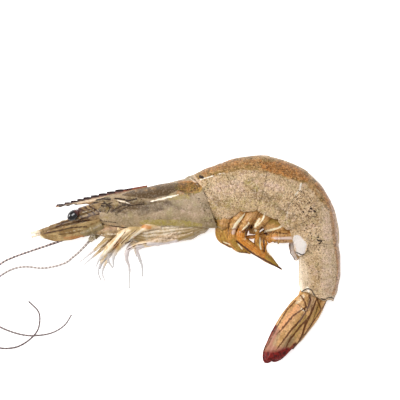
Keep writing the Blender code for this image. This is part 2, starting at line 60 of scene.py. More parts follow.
TAIL_HEADING = 36.0  # degrees that the tail's axis climbs at the neck
SEGMENTS = (
    # length, turn in degrees (negative curls the tail under), half width, side plate depth, keel
    (10.4, -12.0, 7.3, 10.8, 0.0),
    (12.2, -38.0, 7.6, 11.2, 0.0),
    (11.7, -19.0, 7.6, 11.0, 0.1),
    (9.6, -24.0, 7.1, 11.0, 0.25),
    (10.8, -33.0, 6.3, 9.9, 0.35),
    (20.2, -4.0, 5.3, 7.0, 0.4),
)
TAIL_END_WIDTH = 4.7
SUNK = 0.3  # the flank that the floor presses flat
FLOOR_CLEAR = 0.02
SHELL_STEP = 0.12  # how far a rear rim stands over the next segment
RIM_FLARE = 0.12  # how far a rear rim opens out
PLATE = 0.8
BACK_POINTS, BACK_STEP = 8, 12.7  # places over the arched back, and the degrees from each to the next
BACK_FULLNESS = 0.92
FLANK = ((0.35, 0.985), (0.7, 0.93), (1.0, 0.84))  # shares of a side plate's depth and of the half width
PLATE_EDGE = 0.1
PLATE_FOOT, FOOT_GAP = 0.80, 0.3  # where a side plate's inner face meets the belly
BELLY_SAG = ((0.4, 0.4), (0.5, 0.0))  # how far the belly hangs, at shares of the half width
BELLY_LIFT = 0.6
DORSAL = ((0, 10.0), (5, 9.5), (10, 8.7), (16, 8.9), (23, 10.0), (33, 10.4), (38, 9.7), (44, 8.6),
          (50, 7.6), (55, 7.1), (60, 7.7), (66, 7.9), (71, 7.2), (75, 5.9))
BELLY = ((0, 7.4), (40, 7.4), (50, 6.6), (58, 6.0), (66, 6.0), (71, 5.4), (75, 4.4))
LIP = 0.9
NOTCH = 1.1  # how much shallower a side plate is at its ends
# how far a rear rim bulges back, by places round the ring
RIM_BOW = ((0, 0), (4, 0.2), (8, 0.7), (10, 0.3), (14, 0))
LAST_RIM = ((0, 0.4), (3, -0.2), (5, 0.3), (6.5, 0.1), (7.5, -1.3), (8.5, -2.1), (9.3, -2.9), (10, -2.4),
            (14, -2))
# the rows tucked in at a ring's front and rolled in at its rim: how far back, and lift from the skin
FRONT_TUCK = ((-2.6, -1.7), (-1.6, -1.4), (-0.7, -0.9))
RIM_ROLL = ((0.24, 0.06), (0.3, -0.03), (0.26, -0.13), (0.0, -0.2), (-1.5, -0.4), (-2.5, -2.0))
TUCKED_PLATE = 6.0
FIRST_ROW = 0.012
SLOPING, BOW_FROM = 0.3, 0.5  # share of a ring that slopes at either end, and where its rim starts to bulge
RING_POINTS, ROUNDING = 168, 14
SHELL_ROWS = 44


def unit(heading):
    """Direction on the floor, from a heading in degrees."""
    return np.array((math.cos(math.radians(heading)), math.sin(math.radians(heading)), 0.0))


def smooth(t):
    t = np.clip(t, 0.0, 1.0)
    return t * t * (3 - 2 * t)


def along(table, t):
    """Smooth value at t from a table of (t, value) pairs."""
    for (t0, v0), (t1, v1) in zip(table, table[1:]):
        if t <= t1:
            return v0 + (v1 - v0) * smooth((t - t0) / (t1 - t0))
    return table[-1][1]


def spine(s):
    """Point and heading of the tail's axis at arc length s behind the neck."""
    point, heading = np.zeros(3), TAIL_HEADING
    if s < 0:
        return point + unit(heading) * s, heading
    for length, turn, *_ in SEGMENTS:
        run = min(s, length)
        bend = turn * run / length
        half = math.radians(bend / 2)
        if run > 0:
            point = point + unit(heading + bend / 2) * run * math.sin(half) / half
        heading += bend
        s -= run
        if s <= 0:
            break
    return point + unit(heading) * s, heading


def half_width_at(s):
    table, start = [(0.0, SEGMENTS[0][2])], 0.0
    for length, _, width, *_ in SEGMENTS:
        table.append((start + length / 2, width))
        start += length
    table.append((start, TAIL_END_WIDTH))
    return along(table, s)


def middle_at(s):
    """Height of the tail's mid-plane, which keeps the right flank pressed on the floor."""
    return half_width_at(s) - SUNK


def tail_section(s, plate, lift, keel):
    """(up, left) points round the tail: arched back, flanks, and side plates that hang past the belly."""
    back, width = along(DORSAL, s) + lift, half_width_at(s) + lift
    belly = along(BELLY, s) + BELLY_LIFT * lift
    half = []
    for k in range(BACK_POINTS):
        a = math.radians(BACK_STEP * k)
        half.append((back * math.cos(a) + (keel if k == 0 else 0), width * math.sin(a) ** BACK_FULLNESS))
    depth = max(belly + LIP, plate + lift)
    half += [(-down * depth, width * out) for down, out in FLANK]
    half.append((-depth + PLATE_EDGE, width * FLANK[-1][1] - PLATE))
    half.append((-belly, width * PLATE_FOOT - PLATE - FOOT_GAP))
    half += [(-belly - sag, width * out) for sag, out in BELLY_SAG]
    return half + [(up, -left) for up, left in reversed(half[1:-1])]


def rounded(ring, count, passes=ROUNDING):
    """A closed outline of count points through a coarse one, with its corners rounded."""
    ring = np.array(ring)
    t = np.arange(count) * len(ring) / count
    low = t.astype(int)
    share = (t - low)[:, None]
    fine = ring[low] * (1 - share) + ring[(low + 1) % len(ring)] * share
    for _ in range(passes):
        fine = (np.roll(fine, 1, axis=0) + 2 * fine + np.roll(fine, -1, axis=0)) / 4
    return fine


def tail_ring(s, plate, lift, keel, bow=0.0, rim=RIM_BOW):
    centre, heading = spine(s)
    ahead, up, middle = unit(heading), unit(heading + 90), middle_at(s)
    section = tail_section(s, plate, lift, keel)
    ring = []
    for k, (rise, left) in enumerate(section):
        reach = bow * along(rim, min(k, len(section) - k))
        ring.append(centre + ahead * reach + up * rise + np.array((0, 0, middle + left)))
    return rounded(ring, RING_POINTS)


MERGED = 0.002  # places closer than this become one


def skin(name, rows, front=None, back=None):
    """A smooth skin over rings of places. Each end closes at a given place, or at the middle of its ring."""
    rows = np.array(rows, float)
    ends = [rows[0].mean(axis=0) if front is None else front, rows[-1].mean(axis=0) if back is None else back]
    front, back = [np.repeat(end[None, None], rows.shape[1], axis=1) for end in ends]
    rows = np.concatenate([front, rows, back])
    rows = np.concatenate([rows, rows[:, :1]], axis=1)
    rows[:, :, 2] = np.maximum(rows[:, :, 2], FLOOR_CLEAR)
    across, along_it = rows.shape[1] - 1, rows.shape[0] - 1
    bpy.ops.object.select_all(action="DESELECT")
    bpy.ops.mesh.primitive_grid_add(x_subdivisions=across, y_subdivisions=along_it, size=1)
    piece = bpy.context.object
    piece.name = piece.data.name = name
    piece.data.vertices.foreach_set("co", ((rows.reshape(-1, 3) + NECK) * MM).ravel())
    bpy.ops.object.mode_set(mode="EDIT")
    bpy.ops.mesh.select_all(action="SELECT")
    bpy.ops.mesh.remove_doubles(threshold=MERGED * MM)
    bpy.ops.mesh.normals_make_consistent(inside=False)
    bpy.ops.object.mode_set(mode="OBJECT")
    bpy.ops.object.shade_smooth()
    return piece


def nearness(places, route, width):
    """1 on a route and 0 from its half width outwards, seen from above. Several widths spread along it."""
    near = np.zeros(len(places))
    route = [np.array(point, float) for point in route]
    given = np.atleast_1d(width)
    widths = np.interp(np.linspace(0, 1, len(route)), np.linspace(0, 1, len(given)), given)
    for a, b, wide_a, wide_b in zip(route, route[1:], widths, widths[1:]):
        run = b - a
        share = np.clip((places - a) @ run / max(run @ run, 1e-9), 0, 1)
        apart = np.linalg.norm(places - a - share[:, None] * run, axis=1)
        near = np.maximum(near, 1 - apart / (wide_a + (wide_b - wide_a) * share))
    return near


FLANK_LAYERS = ("cream_and_highlight", "dark")  # marks that stop where the skin turns away from above
TURNED_AWAY = 0.4
EDGE_SHARPNESS = 1.8


def seen_places(piece):
    """Where each point of a piece lies on the floor plan, from the neck."""
    co = np.empty(len(piece.data.vertices) * 3)
    piece.data.vertices.foreach_get("co", co)
    return co.reshape(-1, 3)[:, :2] / MM - NECK[:2]


def paint(piece, layer, strokes):
    """Lays soft marks on a piece. Each stroke is its strength, its half width and routes of (x, y) places."""
    places = seen_places(piece)
    value = np.zeros(len(places))
    for strength, width, *routes in strokes:
        for route in routes:
            value = np.maximum(value, strength * smooth(EDGE_SHARPNESS * nearness(places, route, width)))
    if layer in FLANK_LAYERS:
        normal = np.empty(len(places) * 3)
        piece.data.vertex_normals.foreach_get("vector", normal)
        value *= smooth(np.abs(normal.reshape(-1, 3)[:, 2]) / TURNED_AWAY)
    made = piece.data.attributes.new(layer, "FLOAT", "POINT")
    made.data.foreach_set("value", value.astype(np.float32))


def wear(piece, finish, marks=()):
    """Paints a finished piece's marks, gives it its material, and lets it ride with the prawn."""
    for layer, strokes in dict(marks).items():
        paint(piece, layer, strokes)
    piece.data.materials.clear()
    piece.data.materials.append(finish)
    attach(piece, "root")


class Wire:
    """A socket of a finish that takes part in sums."""

    def __init__(self, finish, socket):
        self.finish, self.socket = finish, socket

    def sum(self, operation, a, b):
        return self.finish.node("ShaderNodeMath", {"operation": operation}, {0: a, 1: b})

    def __add__(self, other):
        return self.sum("ADD", self, other)

    def __sub__(self, other):
        return self.sum("SUBTRACT", self, other)

    def __rsub__(self, other):
        return self.sum("SUBTRACT", other, self)

    def __mul__(self, other):
        return self.sum("MULTIPLY", self, other)

    def most(self, other):
        return self.sum("MAXIMUM", self, other)

    def least(self, other):
        return self.sum("MINIMUM", self, other)

    __radd__, __rmul__ = __add__, __mul__


def tint(red, green, blue):
    """A colour as a screen shows it, 0 to 255, in the shader's own scale."""
    share = [channel / 255 for channel in (red, green, blue)]
    return (*[c / 12.92 if c <= 0.04045 else ((c + 0.055) / 1.055) ** 2.4 for c in share], 1.0)


class Finish:
    """A material put together in words, on one Principled shader."""

    def __init__(self, name, **gloss):
        self.material = bpy.data.materials.new(name)
        self.material.use_nodes = True
        self.tree = self.material.node_tree
        self.shader = self.tree.nodes["Principled BSDF"]
        for word, value in gloss.items():
            self.shader.inputs[word.replace("_", " ")].default_value = value
        self.place = self.node("ShaderNodeTexCoord", output="Object")
        self.map = self.node("ShaderNodeTexCoord", output="UV")

    def node(self, kind, settings=(), inputs=(), output=0):
        made = self.tree.nodes.new(kind)
        for word, value in dict(settings).items():
            setattr(made, word, value)
        for word, value in dict(inputs).items():
            self.join(value, made.inputs[word])
        return Wire(self, made.outputs[output])

    def join(self, value, socket):
        if isinstance(value, Wire):
            self.tree.links.new(value.socket, socket)
        else:
            socket.default_value = value

    def noise(self, size, detail=3.0, rough=0.55, swirl=0.0):
        """Cloudy values around a half, with lumps of a size in millimetres."""
        sockets = {"Vector": self.place, "Scale": 1 / (size * MM), "Detail": detail, "Roughness": rough,
                   "Distortion": swirl}
        return self.node("ShaderNodeTexNoise", {}, sockets)

    def cells(self, size):
        """How far a place is from the nearest of many scattered points, about a size in millimetres apart."""
        return self.node("ShaderNodeTexVoronoi", {}, {"Vector": self.place, "Scale": 1 / (size * MM)})

    def fade(self, value, low, high):
        """0 up to low and 1 from high, or the other way round."""
        sockets = {"Value": value, "From Min": low, "From Max": high}
        return self.node("ShaderNodeMapRange", {"interpolation_type": "SMOOTHSTEP"}, sockets)

    def layer(self, name):
        """A layer of paint that a piece carries, or nothing where it has none."""
        return self.node("ShaderNodeAttribute", {"attribute_name": name}, output="Fac")

    def ragged(self, name, size):
        """A layer of paint whose edge breaks up into flecks of a size in millimetres."""
        return self.fade(self.layer(name) + (self.noise(size) - 0.5) * 1.1, 0.22, 0.78)

    def part(self, axis):
        """One coordinate of the piece's own map: X round it and Y along it."""
        return self.node("ShaderNodeSeparateXYZ", {}, {0: self.map}, axis)

    def mix(self, share, a, b):
        """Colour a turning into colour b."""
        return self.node("ShaderNodeMix", {"data_type": "RGBA"}, {0: share, 6: a, 7: b}, 2)

    def clouds(self, low, high, *lumps):
        """Patches of noise, clear up to low and full from high."""
        return self.fade(self.noise(*lumps), low, high)

    def dots(self, size, clear, full, low, high, patch):
        """Scattered round dots, gathered in patches."""
        return self.fade(self.cells(size), clear, full) * self.clouds(low, high, patch)

    def stripes(self, axis, count, swirl):
        """Bands across the piece's own map, in X round it or in Y along it."""
        settings = {"wave_type": "BANDS", "bands_direction": axis}
        sockets = {"Vector": self.map, "Scale": count, "Distortion": swirl, "Detail": 2.0}
        return self.node("ShaderNodeTexWave", settings, sockets)

    def edges(self, near, far):
        """1 on both long edges of a piece, and 0 from a share of the way round on."""
        round_it = self.part(0)
        start = self.fade(round_it, near, 0.0).most(self.fade(round_it, 1 - near, 1.0))
        return start.most(self.fade(round_it, 0.5 - far, 0.5) * self.fade(round_it, 0.5 + far, 0.5))

    def start(self, low, high, size, light, deep):
        """The first colour: a light one, clouded with a deep one."""
        self.colour = self.mix(self.clouds(low, high, size), light, deep)

    def over(self, share, colour):
        """Lays a colour over what is there."""
        self.colour = self.mix(share, self.colour, colour)

    def stain(self, layer, fleck, colour, strength=1.0):
        """Lays a painted layer over what is there. Flecks break up its edge, and 0 leaves it soft."""
        self.over((self.ragged(layer, fleck) if fleck else self.layer(layer)) * strength, colour)

    def bump(self, height, depth, below=None):
        """A relief of a depth in millimetres."""
        sockets = {"Height": height, "Distance": depth * MM, "Strength": 1.0}
        if below:
            sockets["Normal"] = below
        return self.node("ShaderNodeBump", {}, sockets)

    def done(self, roughness, normal):
        self.join(self.colour, self.shader.inputs["Base Color"])
        self.join(roughness, self.shader.inputs["Roughness"])
        self.join(normal, self.shader.inputs["Normal"])
        return self.material


FLESH_GLOW = (1.0, 0.6, 0.4)  # how far red, green and blue light spread below the skin, beside each other


def shell_finish(name, light, deep, dotted):
    """Thin wet chitin over pale flesh: cloudy, netted with fine brown pigment in wavy chains, and
    painted with the band along the back and the marks that each piece carries."""
    shell = Finish(name, Subsurface_Weight=0.08, Subsurface_Radius=FLESH_GLOW, Subsurface_Scale=1.5 * MM,
                   Coat_Weight=0.05, Coat_Roughness=0.12, Specular_IOR_Level=0.25)
    shell.start(0.36, 0.64, 6.0, light, deep)
    shell.over(shell.clouds(0.52, 0.7, 3.1, 2.0) * 0.5, tint(166, 152, 106))
    shell.over(shell.clouds(0.55, 0.7, 2.3, 2.0) * 0.4, tint(206, 174, 158))
    shell.stain("shade", 2.4, tint(78, 59, 34))
    band = shell.ragged("band", 1.8)
    golden = shell.mix(shell.clouds(0.42, 0.58, 2.8), tint(180, 140, 90), tint(132, 104, 52))
    shell.over((band * (0.6 + 0.9 * shell.noise(2.6))).least(1.0), golden)
    rust = shell.ragged("rust", 1.6)
    reddish = shell.mix(shell.clouds(0.42, 0.58, 1.9), tint(192, 128, 66), tint(146, 94, 40))
    shell.over((rust * (0.5 + 0.9 * shell.noise(1.2))).least(1.0), reddish)
    shell.over(shell.ragged("olive", 2.0) * (0.3 + 0.8 * shell.noise(1.4)), tint(160, 142, 64))
    shell.stain("pink", 1.4, tint(214, 180, 162), 0.8)
    shell.stain("pale", 0, tint(236, 220, 196))
    shell.stain("lilac", 1.2, tint(212, 203, 196))
    near = shell.layer("specks")
    bare = 1 - 0.85 * shell.layer("lilac").most(shell.layer("pale"))
    netting = shell.clouds(0.48, 0.57, 0.58, 2.0, 0.6, 1.4) * (dotted + 0.3 * near) * bare
    shell.over((netting * (0.72 + 0.2 * band)).least(1.0), tint(104, 72, 38))
    flecks = shell.clouds(0.54, 0.64, 0.66, 2.0, 0.6)
    shell.over(flecks * (bare * (1 - 0.8 * band.most(rust))) * dotted * 0.4, tint(236, 212, 186))
    shell.over(flecks * band.most(rust) * 0.5, tint(202, 158, 104))
    dots = shell.fade(shell.cells(0.9), 0.32, 0.18) * (0.75 * dotted + near + 0.3 * band)
    shell.over((dots * shell.clouds(0.36, 0.52, 1.7) * bare).least(0.92), tint(58, 38, 20))
    # Cream marks, and painted highlights where rims, ridges and edges catch the light.
    shell.stain("cream_and_highlight", 0.7, tint(240, 226, 206))
    shell.stain("dark", 0.5, tint(44, 28, 16))
    pits = shell.bump(netting, 0.05)
    return shell.done(0.32 + 0.24 * shell.noise(1.2), shell.bump(shell.noise(2.2, 2.0), 0.14, pits))


def build_segment(number, start):
    """One ring of the tail's shell, tucked in at its front and rolled over at its rear rim."""
    length, _, _, plate, keel = SEGMENTS[number]
    rim = LAST_RIM if number == len(SEGMENTS) - 1 else RIM_BOW
    rows = [tail_ring(start + tuck, TUCKED_PLATE, lift, keel) for tuck, lift in FRONT_TUCK]
    for k in range(SHELL_ROWS + 1):
        share = FIRST_ROW + k / SHELL_ROWS
        lobe = 1 - (2 * min(share, 1.0) - 1) ** 4
        rear, front = smooth((share - 1 + SLOPING) / SLOPING), smooth(share / SLOPING)
        lift = RIM_FLARE * rear - SHELL_STEP * (1 - front)
        bow = smooth((share - BOW_FROM) / (1 - BOW_FROM))
        rows.append(tail_ring(start + length * share, plate - NOTCH * (1 - lobe), lift, keel, bow, rim))
    for reach, lift in RIM_ROLL:
        rows.append(tail_ring(start + length + reach, plate - NOTCH, lift, keel, 1.0, rim))
    return skin(f"tail_segment_{number + 1}", rows)


BACK_LINE = ((40.2, 5.6), (43.7, 1.6), (45.9, -4), (47, -14.4), (48, -21), (48.3, -26), (47.7, -31),
             (46.4, -34))
BACK_WIDTHS = (1.2, 1.3, 1.4, 1.2, 0.9, 0.8, 0.8, 0.8)
# Painted shade: a thin dark line along the outline of the back, where the skin turns away from above.
BACK_OUTLINE_SHADE = ((46.9, -6), (48, -14), (49.1, -22), (49.3, -27), (48.4, -33))
TAIL_MARKS = {
    "band": ((1, (3.4, 4.9, 4.1, 3.8, 3.8, 4, 3.2), ((-0.6, 9.6), (7.6, 13.2), (13, 13.9), (20.2, 13.2),
            (27.4, 11.4), (31.7, 9.9), (36, 8.4))),
        (0.6, (2.8, 2.2, 1.4), ((36, 8.2), (41, 3), (44.6, -3.2))), (0.85, BACK_WIDTHS, BACK_LINE)),
    "rust": ((0.75, (2.4, 3.8, 3.4, 1.6), ((22, 12.2), (27.4, 11.6), (32.2, 9.8), (36.6, 7.6))),
        (0.5, 2, ((12, 13.4), (20, 13.4))), (0.55, (1.6, 2.2), ((0, 10.2), (10, 13.4))),
        (0.65, BACK_WIDTHS, BACK_LINE), (0.4, 1.6, ((44, -32.6), (46.6, -33)))),
    # Painted highlights on raised rims: at the neck, along the rim between segments 3 and 4, and on segment
    # 6.
    "cream_and_highlight": ((0.7, (0.28, 0.36, 0.2), ((-1.4, 7.3), (1.5, 8.1), (3.8, 8.8))),
        (0.5, (0.2, 0.28), ((4.6, 9.1), (7.2, 9.7))),
        (0.9, (0.35, 0.5, 0.35), ((34.7, 6), (34.4, 4.8), (34.1, 3.6))),
        (0.8, 0.4, ((33.5, 2.9), (32.6, 2))),
        (0.4, (0.25, 0.4, 0.4, 0.2), ((31, -0.8), (29.6, -4.4), (29.6, -8.6), (31, -11.4))),
        (0.8, (0.8, 0.5), ((37.1, -31.6), (37.7, -32.8))), (0.6, (0.5, 0.8), ((34.8, -29), (35, -32.4)))),
    "specks": ((0.9, (4.4, 5.2, 4.4), ((34, 1), (37, -4), (39, -10))), (0.5, 3.5, ((38, -10), (42, -16))),
        (0.6, 1.4, ((0.8, 5), (1.2, -2.4)))),
    "dark": ((0.95, 0.5, ((38, -3), (38.5, -3.2)), ((39.2, -3.9), (39.8, -4.2)), ((40.9, -14.5),
            (42, -14.7))), (0.85, 0.4, ((37.5, -4), (37.8, -4.2))),
        (0.8, 0.4, ((35.2, -4.2), (35.6, -4.5))),
        (0.9, 0.4, ((40.7, -13.3), (41, -13.4)), ((41.1, -15.6), (41.7, -15.4))),
        # The mark at the neck is painted shade in the crease where the head shell overlaps the tail.
        (0.95, 0.75, ((-1.4, 8.4), (-0.5, 8.1))), (0.26, BACK_WIDTHS, BACK_LINE),
        (0.6, 0.3, ((41.1, -22.3), (40.9, -23.6)), ((40.9, -25), (41.3, -27.6))),
        (0.95, 0.3, ((33.8, -33.4), (35, -33), (37, -31.8), (38.6, -32.2), (39.8, -34.4), (41.4, -35.6),
            (43.6, -35.6), (45.4, -35), (47.4, -35.6)))),
    "olive": ((0.4, (2.2, 3.2, 3.4, 3), ((2, -2.5), (12, -1), (24, -2.4), (29, -7))),
        (0.55, 2.2, ((15.4, 6), (18.6, 4.2))), (0.8, (1.4, 1.8), ((-2, -7.6), (5.4, -7.4)))),
    "pink": ((0.45, (2.6, 3.4), ((5.4, 4.6), (12.6, 5))), (0.45, 2.2, ((22.4, 5.4), (27.4, 4))),
        (0.6, 0.75, ((42.3, 5.4), (45.4, 0), (46.8, -6), (48, -16), (48.9, -24), (47.6, -33))),
        # Pink of the shell along the back of segments 5 and 6, laid where the back turns away from the lamp,
        # so that it is also painted light there.
        (0.5, (2, 2.6), ((43.6, -4), (44.4, -13))),
        (0.42, (2.4, 3.6, 3.6), ((43.6, -18), (44.4, -25), (44, -32)))),
    "lilac": ((1, (2.2, 2.9, 2.2), ((33.4, -14), (34.6, -16.2), (34.6, -18.4))),),
    "shade": ((0.3, (3, 4), ((2.4, 4), (6, 0))), (0.55, 1.8, ((3.6, 9.8), (9, 11.2))),
        (0.4, (3, 3.8, 3), ((17, 2.4), (25, -0.6), (31, -5))), (0.6, 0.6, ((2, 11.4), (8, 13.9))),
        (0.6, 0.7, ((30, 12.6), (35.6, 10), (40, 6.6))), (0.45, 0.5, BACK_OUTLINE_SHADE)),
    "pale": ((0.4, (1.8, 4.2, 5.2, 3.8), ((33.8, -19.4), (34, -24), (34.2, -29), (35, -33))),
        (0.75, (1, 2, 2.6, 2), ((33.8, -19.4), (33.8, -24), (34, -29), (34.8, -33))),
        # Painted light: a faint pale wash where the back of segments 5 and 6 turns away from the lamp.
        (0.22, (3, 4.4, 4.4, 3.6), ((43.6, -4), (44.6, -13), (45, -25), (44.4, -33)))),
}

tail_finish = shell_finish("tail_shell", tint(206, 176, 138), tint(184, 154, 112), 0.9)
segment_start = 0.0
for number, (length, *_) in enumerate(SEGMENTS):
    segment = build_segment(number, segment_start)
    wear(segment, tail_finish, TAIL_MARKS)
    if number == 0:
        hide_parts("prawn_body")
    segment_start += length

# Head shell
# The carapace is one stiff saddle of chitin over the head and gills. Shallow grooves mark where the
# muscles hold on, and its rear rim lies loose over the first ring of the tail.

HEAD_HEADING = 6.0
HEAD_START = np.array((-39.2, -4.3, 0.0))
HEAD_LENGTH = 43.0
HEAD_MIDDLE = SEGMENTS[0][2] - SUNK
REAR_SLANT = 0.24
HEAD_BACK = ((-1.5, 3.2), (1.5, 4.7), (8, 5.8), (16, 6.7), (26, 7.7), (33, 8.5), (38, 9.5), (43, 9.9))
HEAD_RIM = ((-1.5, 3.2), (1.5, 4.4), (6, 6.2), (13, 7.5), (24, 7.7), (34, 9.0), (43, 10.4))
HEAD_WIDTH = ((-1.5, 3.1), (1.5, 3.9), (8, 5.0), (18, 6.3), (30, 7.2), (43, 7.5))
HEAD_FRONT = -1.5
HEAD_ROWS, HEAD_ROUNDING = 110, 10
CROWN_STEP, CROWN_FULLNESS, CROWN_WIDENING = 15, 0.9, 1.05
# shares of the depth down to the rim, and of the half width
CHEEK = ((0, 1), (0.4, 1), (0.75, 0.94), (1, 0.80))
PALATE = ((0.8, 0.3), (0.78, 0.0))
SLANT_FROM = 30
REAR_ROLL = ((0.1, 0.1), (0.05, 0.4), (-0.6, 0.7), (-2.0, 2.4))  # reach behind the rim, and inset


def head_spot(s, up, left):
    """A place in the head: s behind the eye socket, up towards the back, left of the mid-plane."""
    place = HEAD_START + unit(HEAD_HEADING) * s + unit(HEAD_HEADING + 90) * up
    return place + np.array((0, 0, HEAD_MIDDLE + left))


def head_ring(s, shrink=0.0):
    back, rim, width = [along(table, s) - shrink for table in (HEAD_BACK, HEAD_RIM, HEAD_WIDTH)]
    half = [(back, 0.0)]
    for k in range(1, 6):
        a = math.radians(CROWN_STEP * k)
        half.append((back * math.cos(a) ** CROWN_FULLNESS, width * math.sin(a) ** CROWN_WIDENING))
    half += [(-down * rim, width * out) for down, out in CHEEK]
    half.append((-rim + PLATE_EDGE, width * CHEEK[-1][1] - PLATE))
    half += [(-down * rim, width * out) for down, out in PALATE]
    points = half + [(up, -left) for up, left in reversed(half[1:-1])]
    slant = REAR_SLANT * smooth((s - SLANT_FROM) / (HEAD_LENGTH - SLANT_FROM))
    places = [head_spot(s - slant * (up + rim), up, left) for up, left in points]
    return rounded(places, RING_POINTS, HEAD_ROUNDING)


GROOVES = ((0.35, 0.7, ((-32.8, -4.3), (-30.4, -2.6), (-28.4, -1.4))),
           (0.4, 0.7, ((-31.3, -5), (-26.6, -1.6), (-24, -1.0), (-21.2, -1.2))),
           (0.3, 0.6, ((-33.1, -1.8), (-32.4, -3.6), (-31, -5.4))),
           (0.35, 0.7, ((-42.8, -2.5), (-39.2, -1.1), (-35, -0.3), (-32, 0))),
           (0.25, 0.8, ((-21, 1.6), (-15, 0.6), (-8, 2.2))))
RIDGES = ((0.3, 0.8, ((-35, -2.2), (-29, -2.6), (-24, -2.6))),
          (0.25, 1.0, ((-18.7, -0.6), (-13.5, 0.4), (-9.4, 1.8))))


def engrave(piece, strokes, way):
    """Presses strokes into a piece's skin, or raises them, along its own normals."""
    count = len(piece.data.vertices)
    co, normal = np.empty(count * 3), np.empty(count * 3)
    piece.data.vertices.foreach_get("co", co)
    piece.data.vertex_normals.foreach_get("vector", normal)
    co, normal = co.reshape(-1, 3), normal.reshape(-1, 3)
    places = seen_places(piece)
    push = np.zeros(count)
    for depth, width, route in strokes:
        push = np.maximum(push, depth * smooth(nearness(places, route, width)))
    co += normal * (way * push * MM)[:, None]
    co[:, 2] = np.maximum(co[:, 2], FLOOR_CLEAR * MM)
    piece.data.vertices.foreach_set("co", co.ravel())
    piece.data.update()


rows = [head_ring(HEAD_FRONT + (HEAD_LENGTH - HEAD_FRONT) * k / HEAD_ROWS) for k in range(HEAD_ROWS + 1)]
rows += [head_ring(HEAD_LENGTH + reach, inset) for reach, inset in REAR_ROLL]
head_shell = skin("head_shell", rows)
engrave(head_shell, GROOVES, -1)
engrave(head_shell, RIDGES, 1)
HEAD_MARKS = {
    "band": ((0.35, (1.5, 2.2, 1.6), ((-31, 1.6), (-22, 4.4), (-10, 6.2))),),
    "shade": ((1, (0.4, 1.5, 3.8, 3.4, 1.2), ((-29, 1.8), (-26, 2.2), (-20.4, 3), (-13.6, 3.9), (-8.4, 5))),
        (0.3, (3.4, 2.4), ((-9, -1.8), (-3, -2.4))),
        (0.85, (1.8, 2.4, 1.8), ((-8, 4), (-5, 3.8), (-2.2, 3.8))),
        (0.58, (2, 2.4, 4.2, 2.6), ((-38, -3), (-31, -3), (-23, -3), (-13, -1.6))),
        (0.4, (1.4, 2.2, 1.8), ((-38, -0.6), (-30, 0.8), (-24, 1.4))),
        (0.7, (0.8, 1.6, 0.8), ((-7.6, 6), (-4.8, 5), (-2.4, 5.6))), (0.3, 1.8, ((-24, -7), (-16, -6.6)))),
    "rust": ((0.35, (0.8, 1.3, 0.8), ((-39.6, -7.4), (-35.6, -8.8), (-29, -9.4))),
        (0.9, (2.2, 3.2, 2.2), ((-8, 5.3), (-4.8, 4.7), (-2.2, 4.4))), (0.4, 1.6, ((-9, 2.6), (-4, 2.2)))),
    "olive": ((0.64, (1.2, 2, 2, 1.2), ((-22.4, -8), (-16, -8.1), (-8, -8.4), (-1.4, -9))),
        (0.5, (2.4, 3.6, 2.6), ((-9, 4.8), (-5, 4.2), (-2.2, 3.8))),
        (0.4, 2, ((-42, -4.4), (-36, -3.6), (-32, -1.2))), (0.25, 1.8, ((-36, -6.4), (-29, -6))),
        (0.5, 1.6, ((-12, 0.8), (-6, 1)))),
    "pink": ((0.25, (1.8, 4, 4.6), ((-13, -4.4), (-4, -4), (2, -4.6))),),
    "specks": ((1, (2.6, 3.6, 2.6), ((-9, 4.6), (-5, 4.2), (-2, 4))),
        (0.9, (1.6, 3.4, 2.6), ((-39, -2), (-31, -2), (-23, -1))), (0.9, (3, 3.6), ((-0.6, 3), (2.4, -5)))),
    # The long slash on the upper flank and the fleck on the spine behind the eye are painted highlights.
    "cream_and_highlight": ((0.85, (0.3, 0.45, 0.5, 0.3), ((-19, -0.5), (-15, 0.4), (-12, 1.2), (-9.2, 1.9))),
        (0.65, (0.18, 0.32, 0.18), ((-31.6, 0), (-29, -0.5), (-26.8, -1.2))),
        (0.6, (0.4, 0.7, 0.4), ((-21.2, -9.7), (-12, -9.6), (-3, -10.3))),
        (0.45, 0.35, ((-5, 7.7), (-2.8, 6), (-1.7, 4.6))), (0.4, 0.3, ((-3.4, 7.9), (-1.4, 6.2)))),
    # Painted shade: the lines along the grooves and the crease under the rostrum, and the shadow just below
    # the spine behind the eye. The speckled patch at the rear is brown pigment.
    "dark": ((0.48, (2.4, 3.4, 2.4), ((-8.6, 4.8), (-5, 4.6), (-2.6, 4.6))),
        (0.5, 0.3, ((-4.4, 8), (-2.2, 6.4), (-1.1, 4.8))),
        (0.85, 0.4, ((-32, 0.6), (-28.5, 0.2), (-27.5, -0.4), (-24.1, 0.4))),
        (0.7, 0.35, ((-30.6, -0.8), (-28, -1.6), (-26.2, -1.9))),
        (0.65, 0.4, ((-33.2, -4.3), (-31, -2.9), (-28.4, -1.7), (-26.6, -1.9)), ((-31.6, -5.2), (-29, -3.4),
            (-26.6, -2.1), (-21.2, -1.3))),
        (0.5, 0.35, ((-33.4, -1.8), (-32.2, -3.8), (-31, -5.6)), ((-42, -4), (-39, -5.2), (-36.6, -7.4))),
        (0.95, (0.4, 0.6, 0.4), ((-42.8, -2.2), (-40.6, -1.1), (-38.4, -0.9))),
        (0.9, 0.4, ((-38.8, 0), (-36.2, 0.5), (-33.6, 0.1))),
        (0.85, 0.35, ((-37.2, -1.1), (-34.6, -1.5), (-33, -1))),
        (0.8, 0.35, ((-40.8, -2.4), (-38.4, -3), (-37, -4.3))),
        (0.6, 0.35, ((-39, 0.6), (-36, 1), (-33.4, 0.6)), ((-40, -5.4), (-37, -7.4), (-31, -8.2))),
        (0.7, 0.4, ((-36, -0.6), (-33.6, -2.6), (-34.6, -4.6)), ((-39, -1.2), (-36, -2.2), (-33.6, -2))),
        (0.85, (0.5, 0.5, 0.4), ((-41, -6.2), (-38.4, -8), (-35.6, -9.1), (-27.4, -10.1)))),
}
head_finish = shell_finish("head_shell", tint(162, 140, 110), tint(130, 112, 82), 0.35)
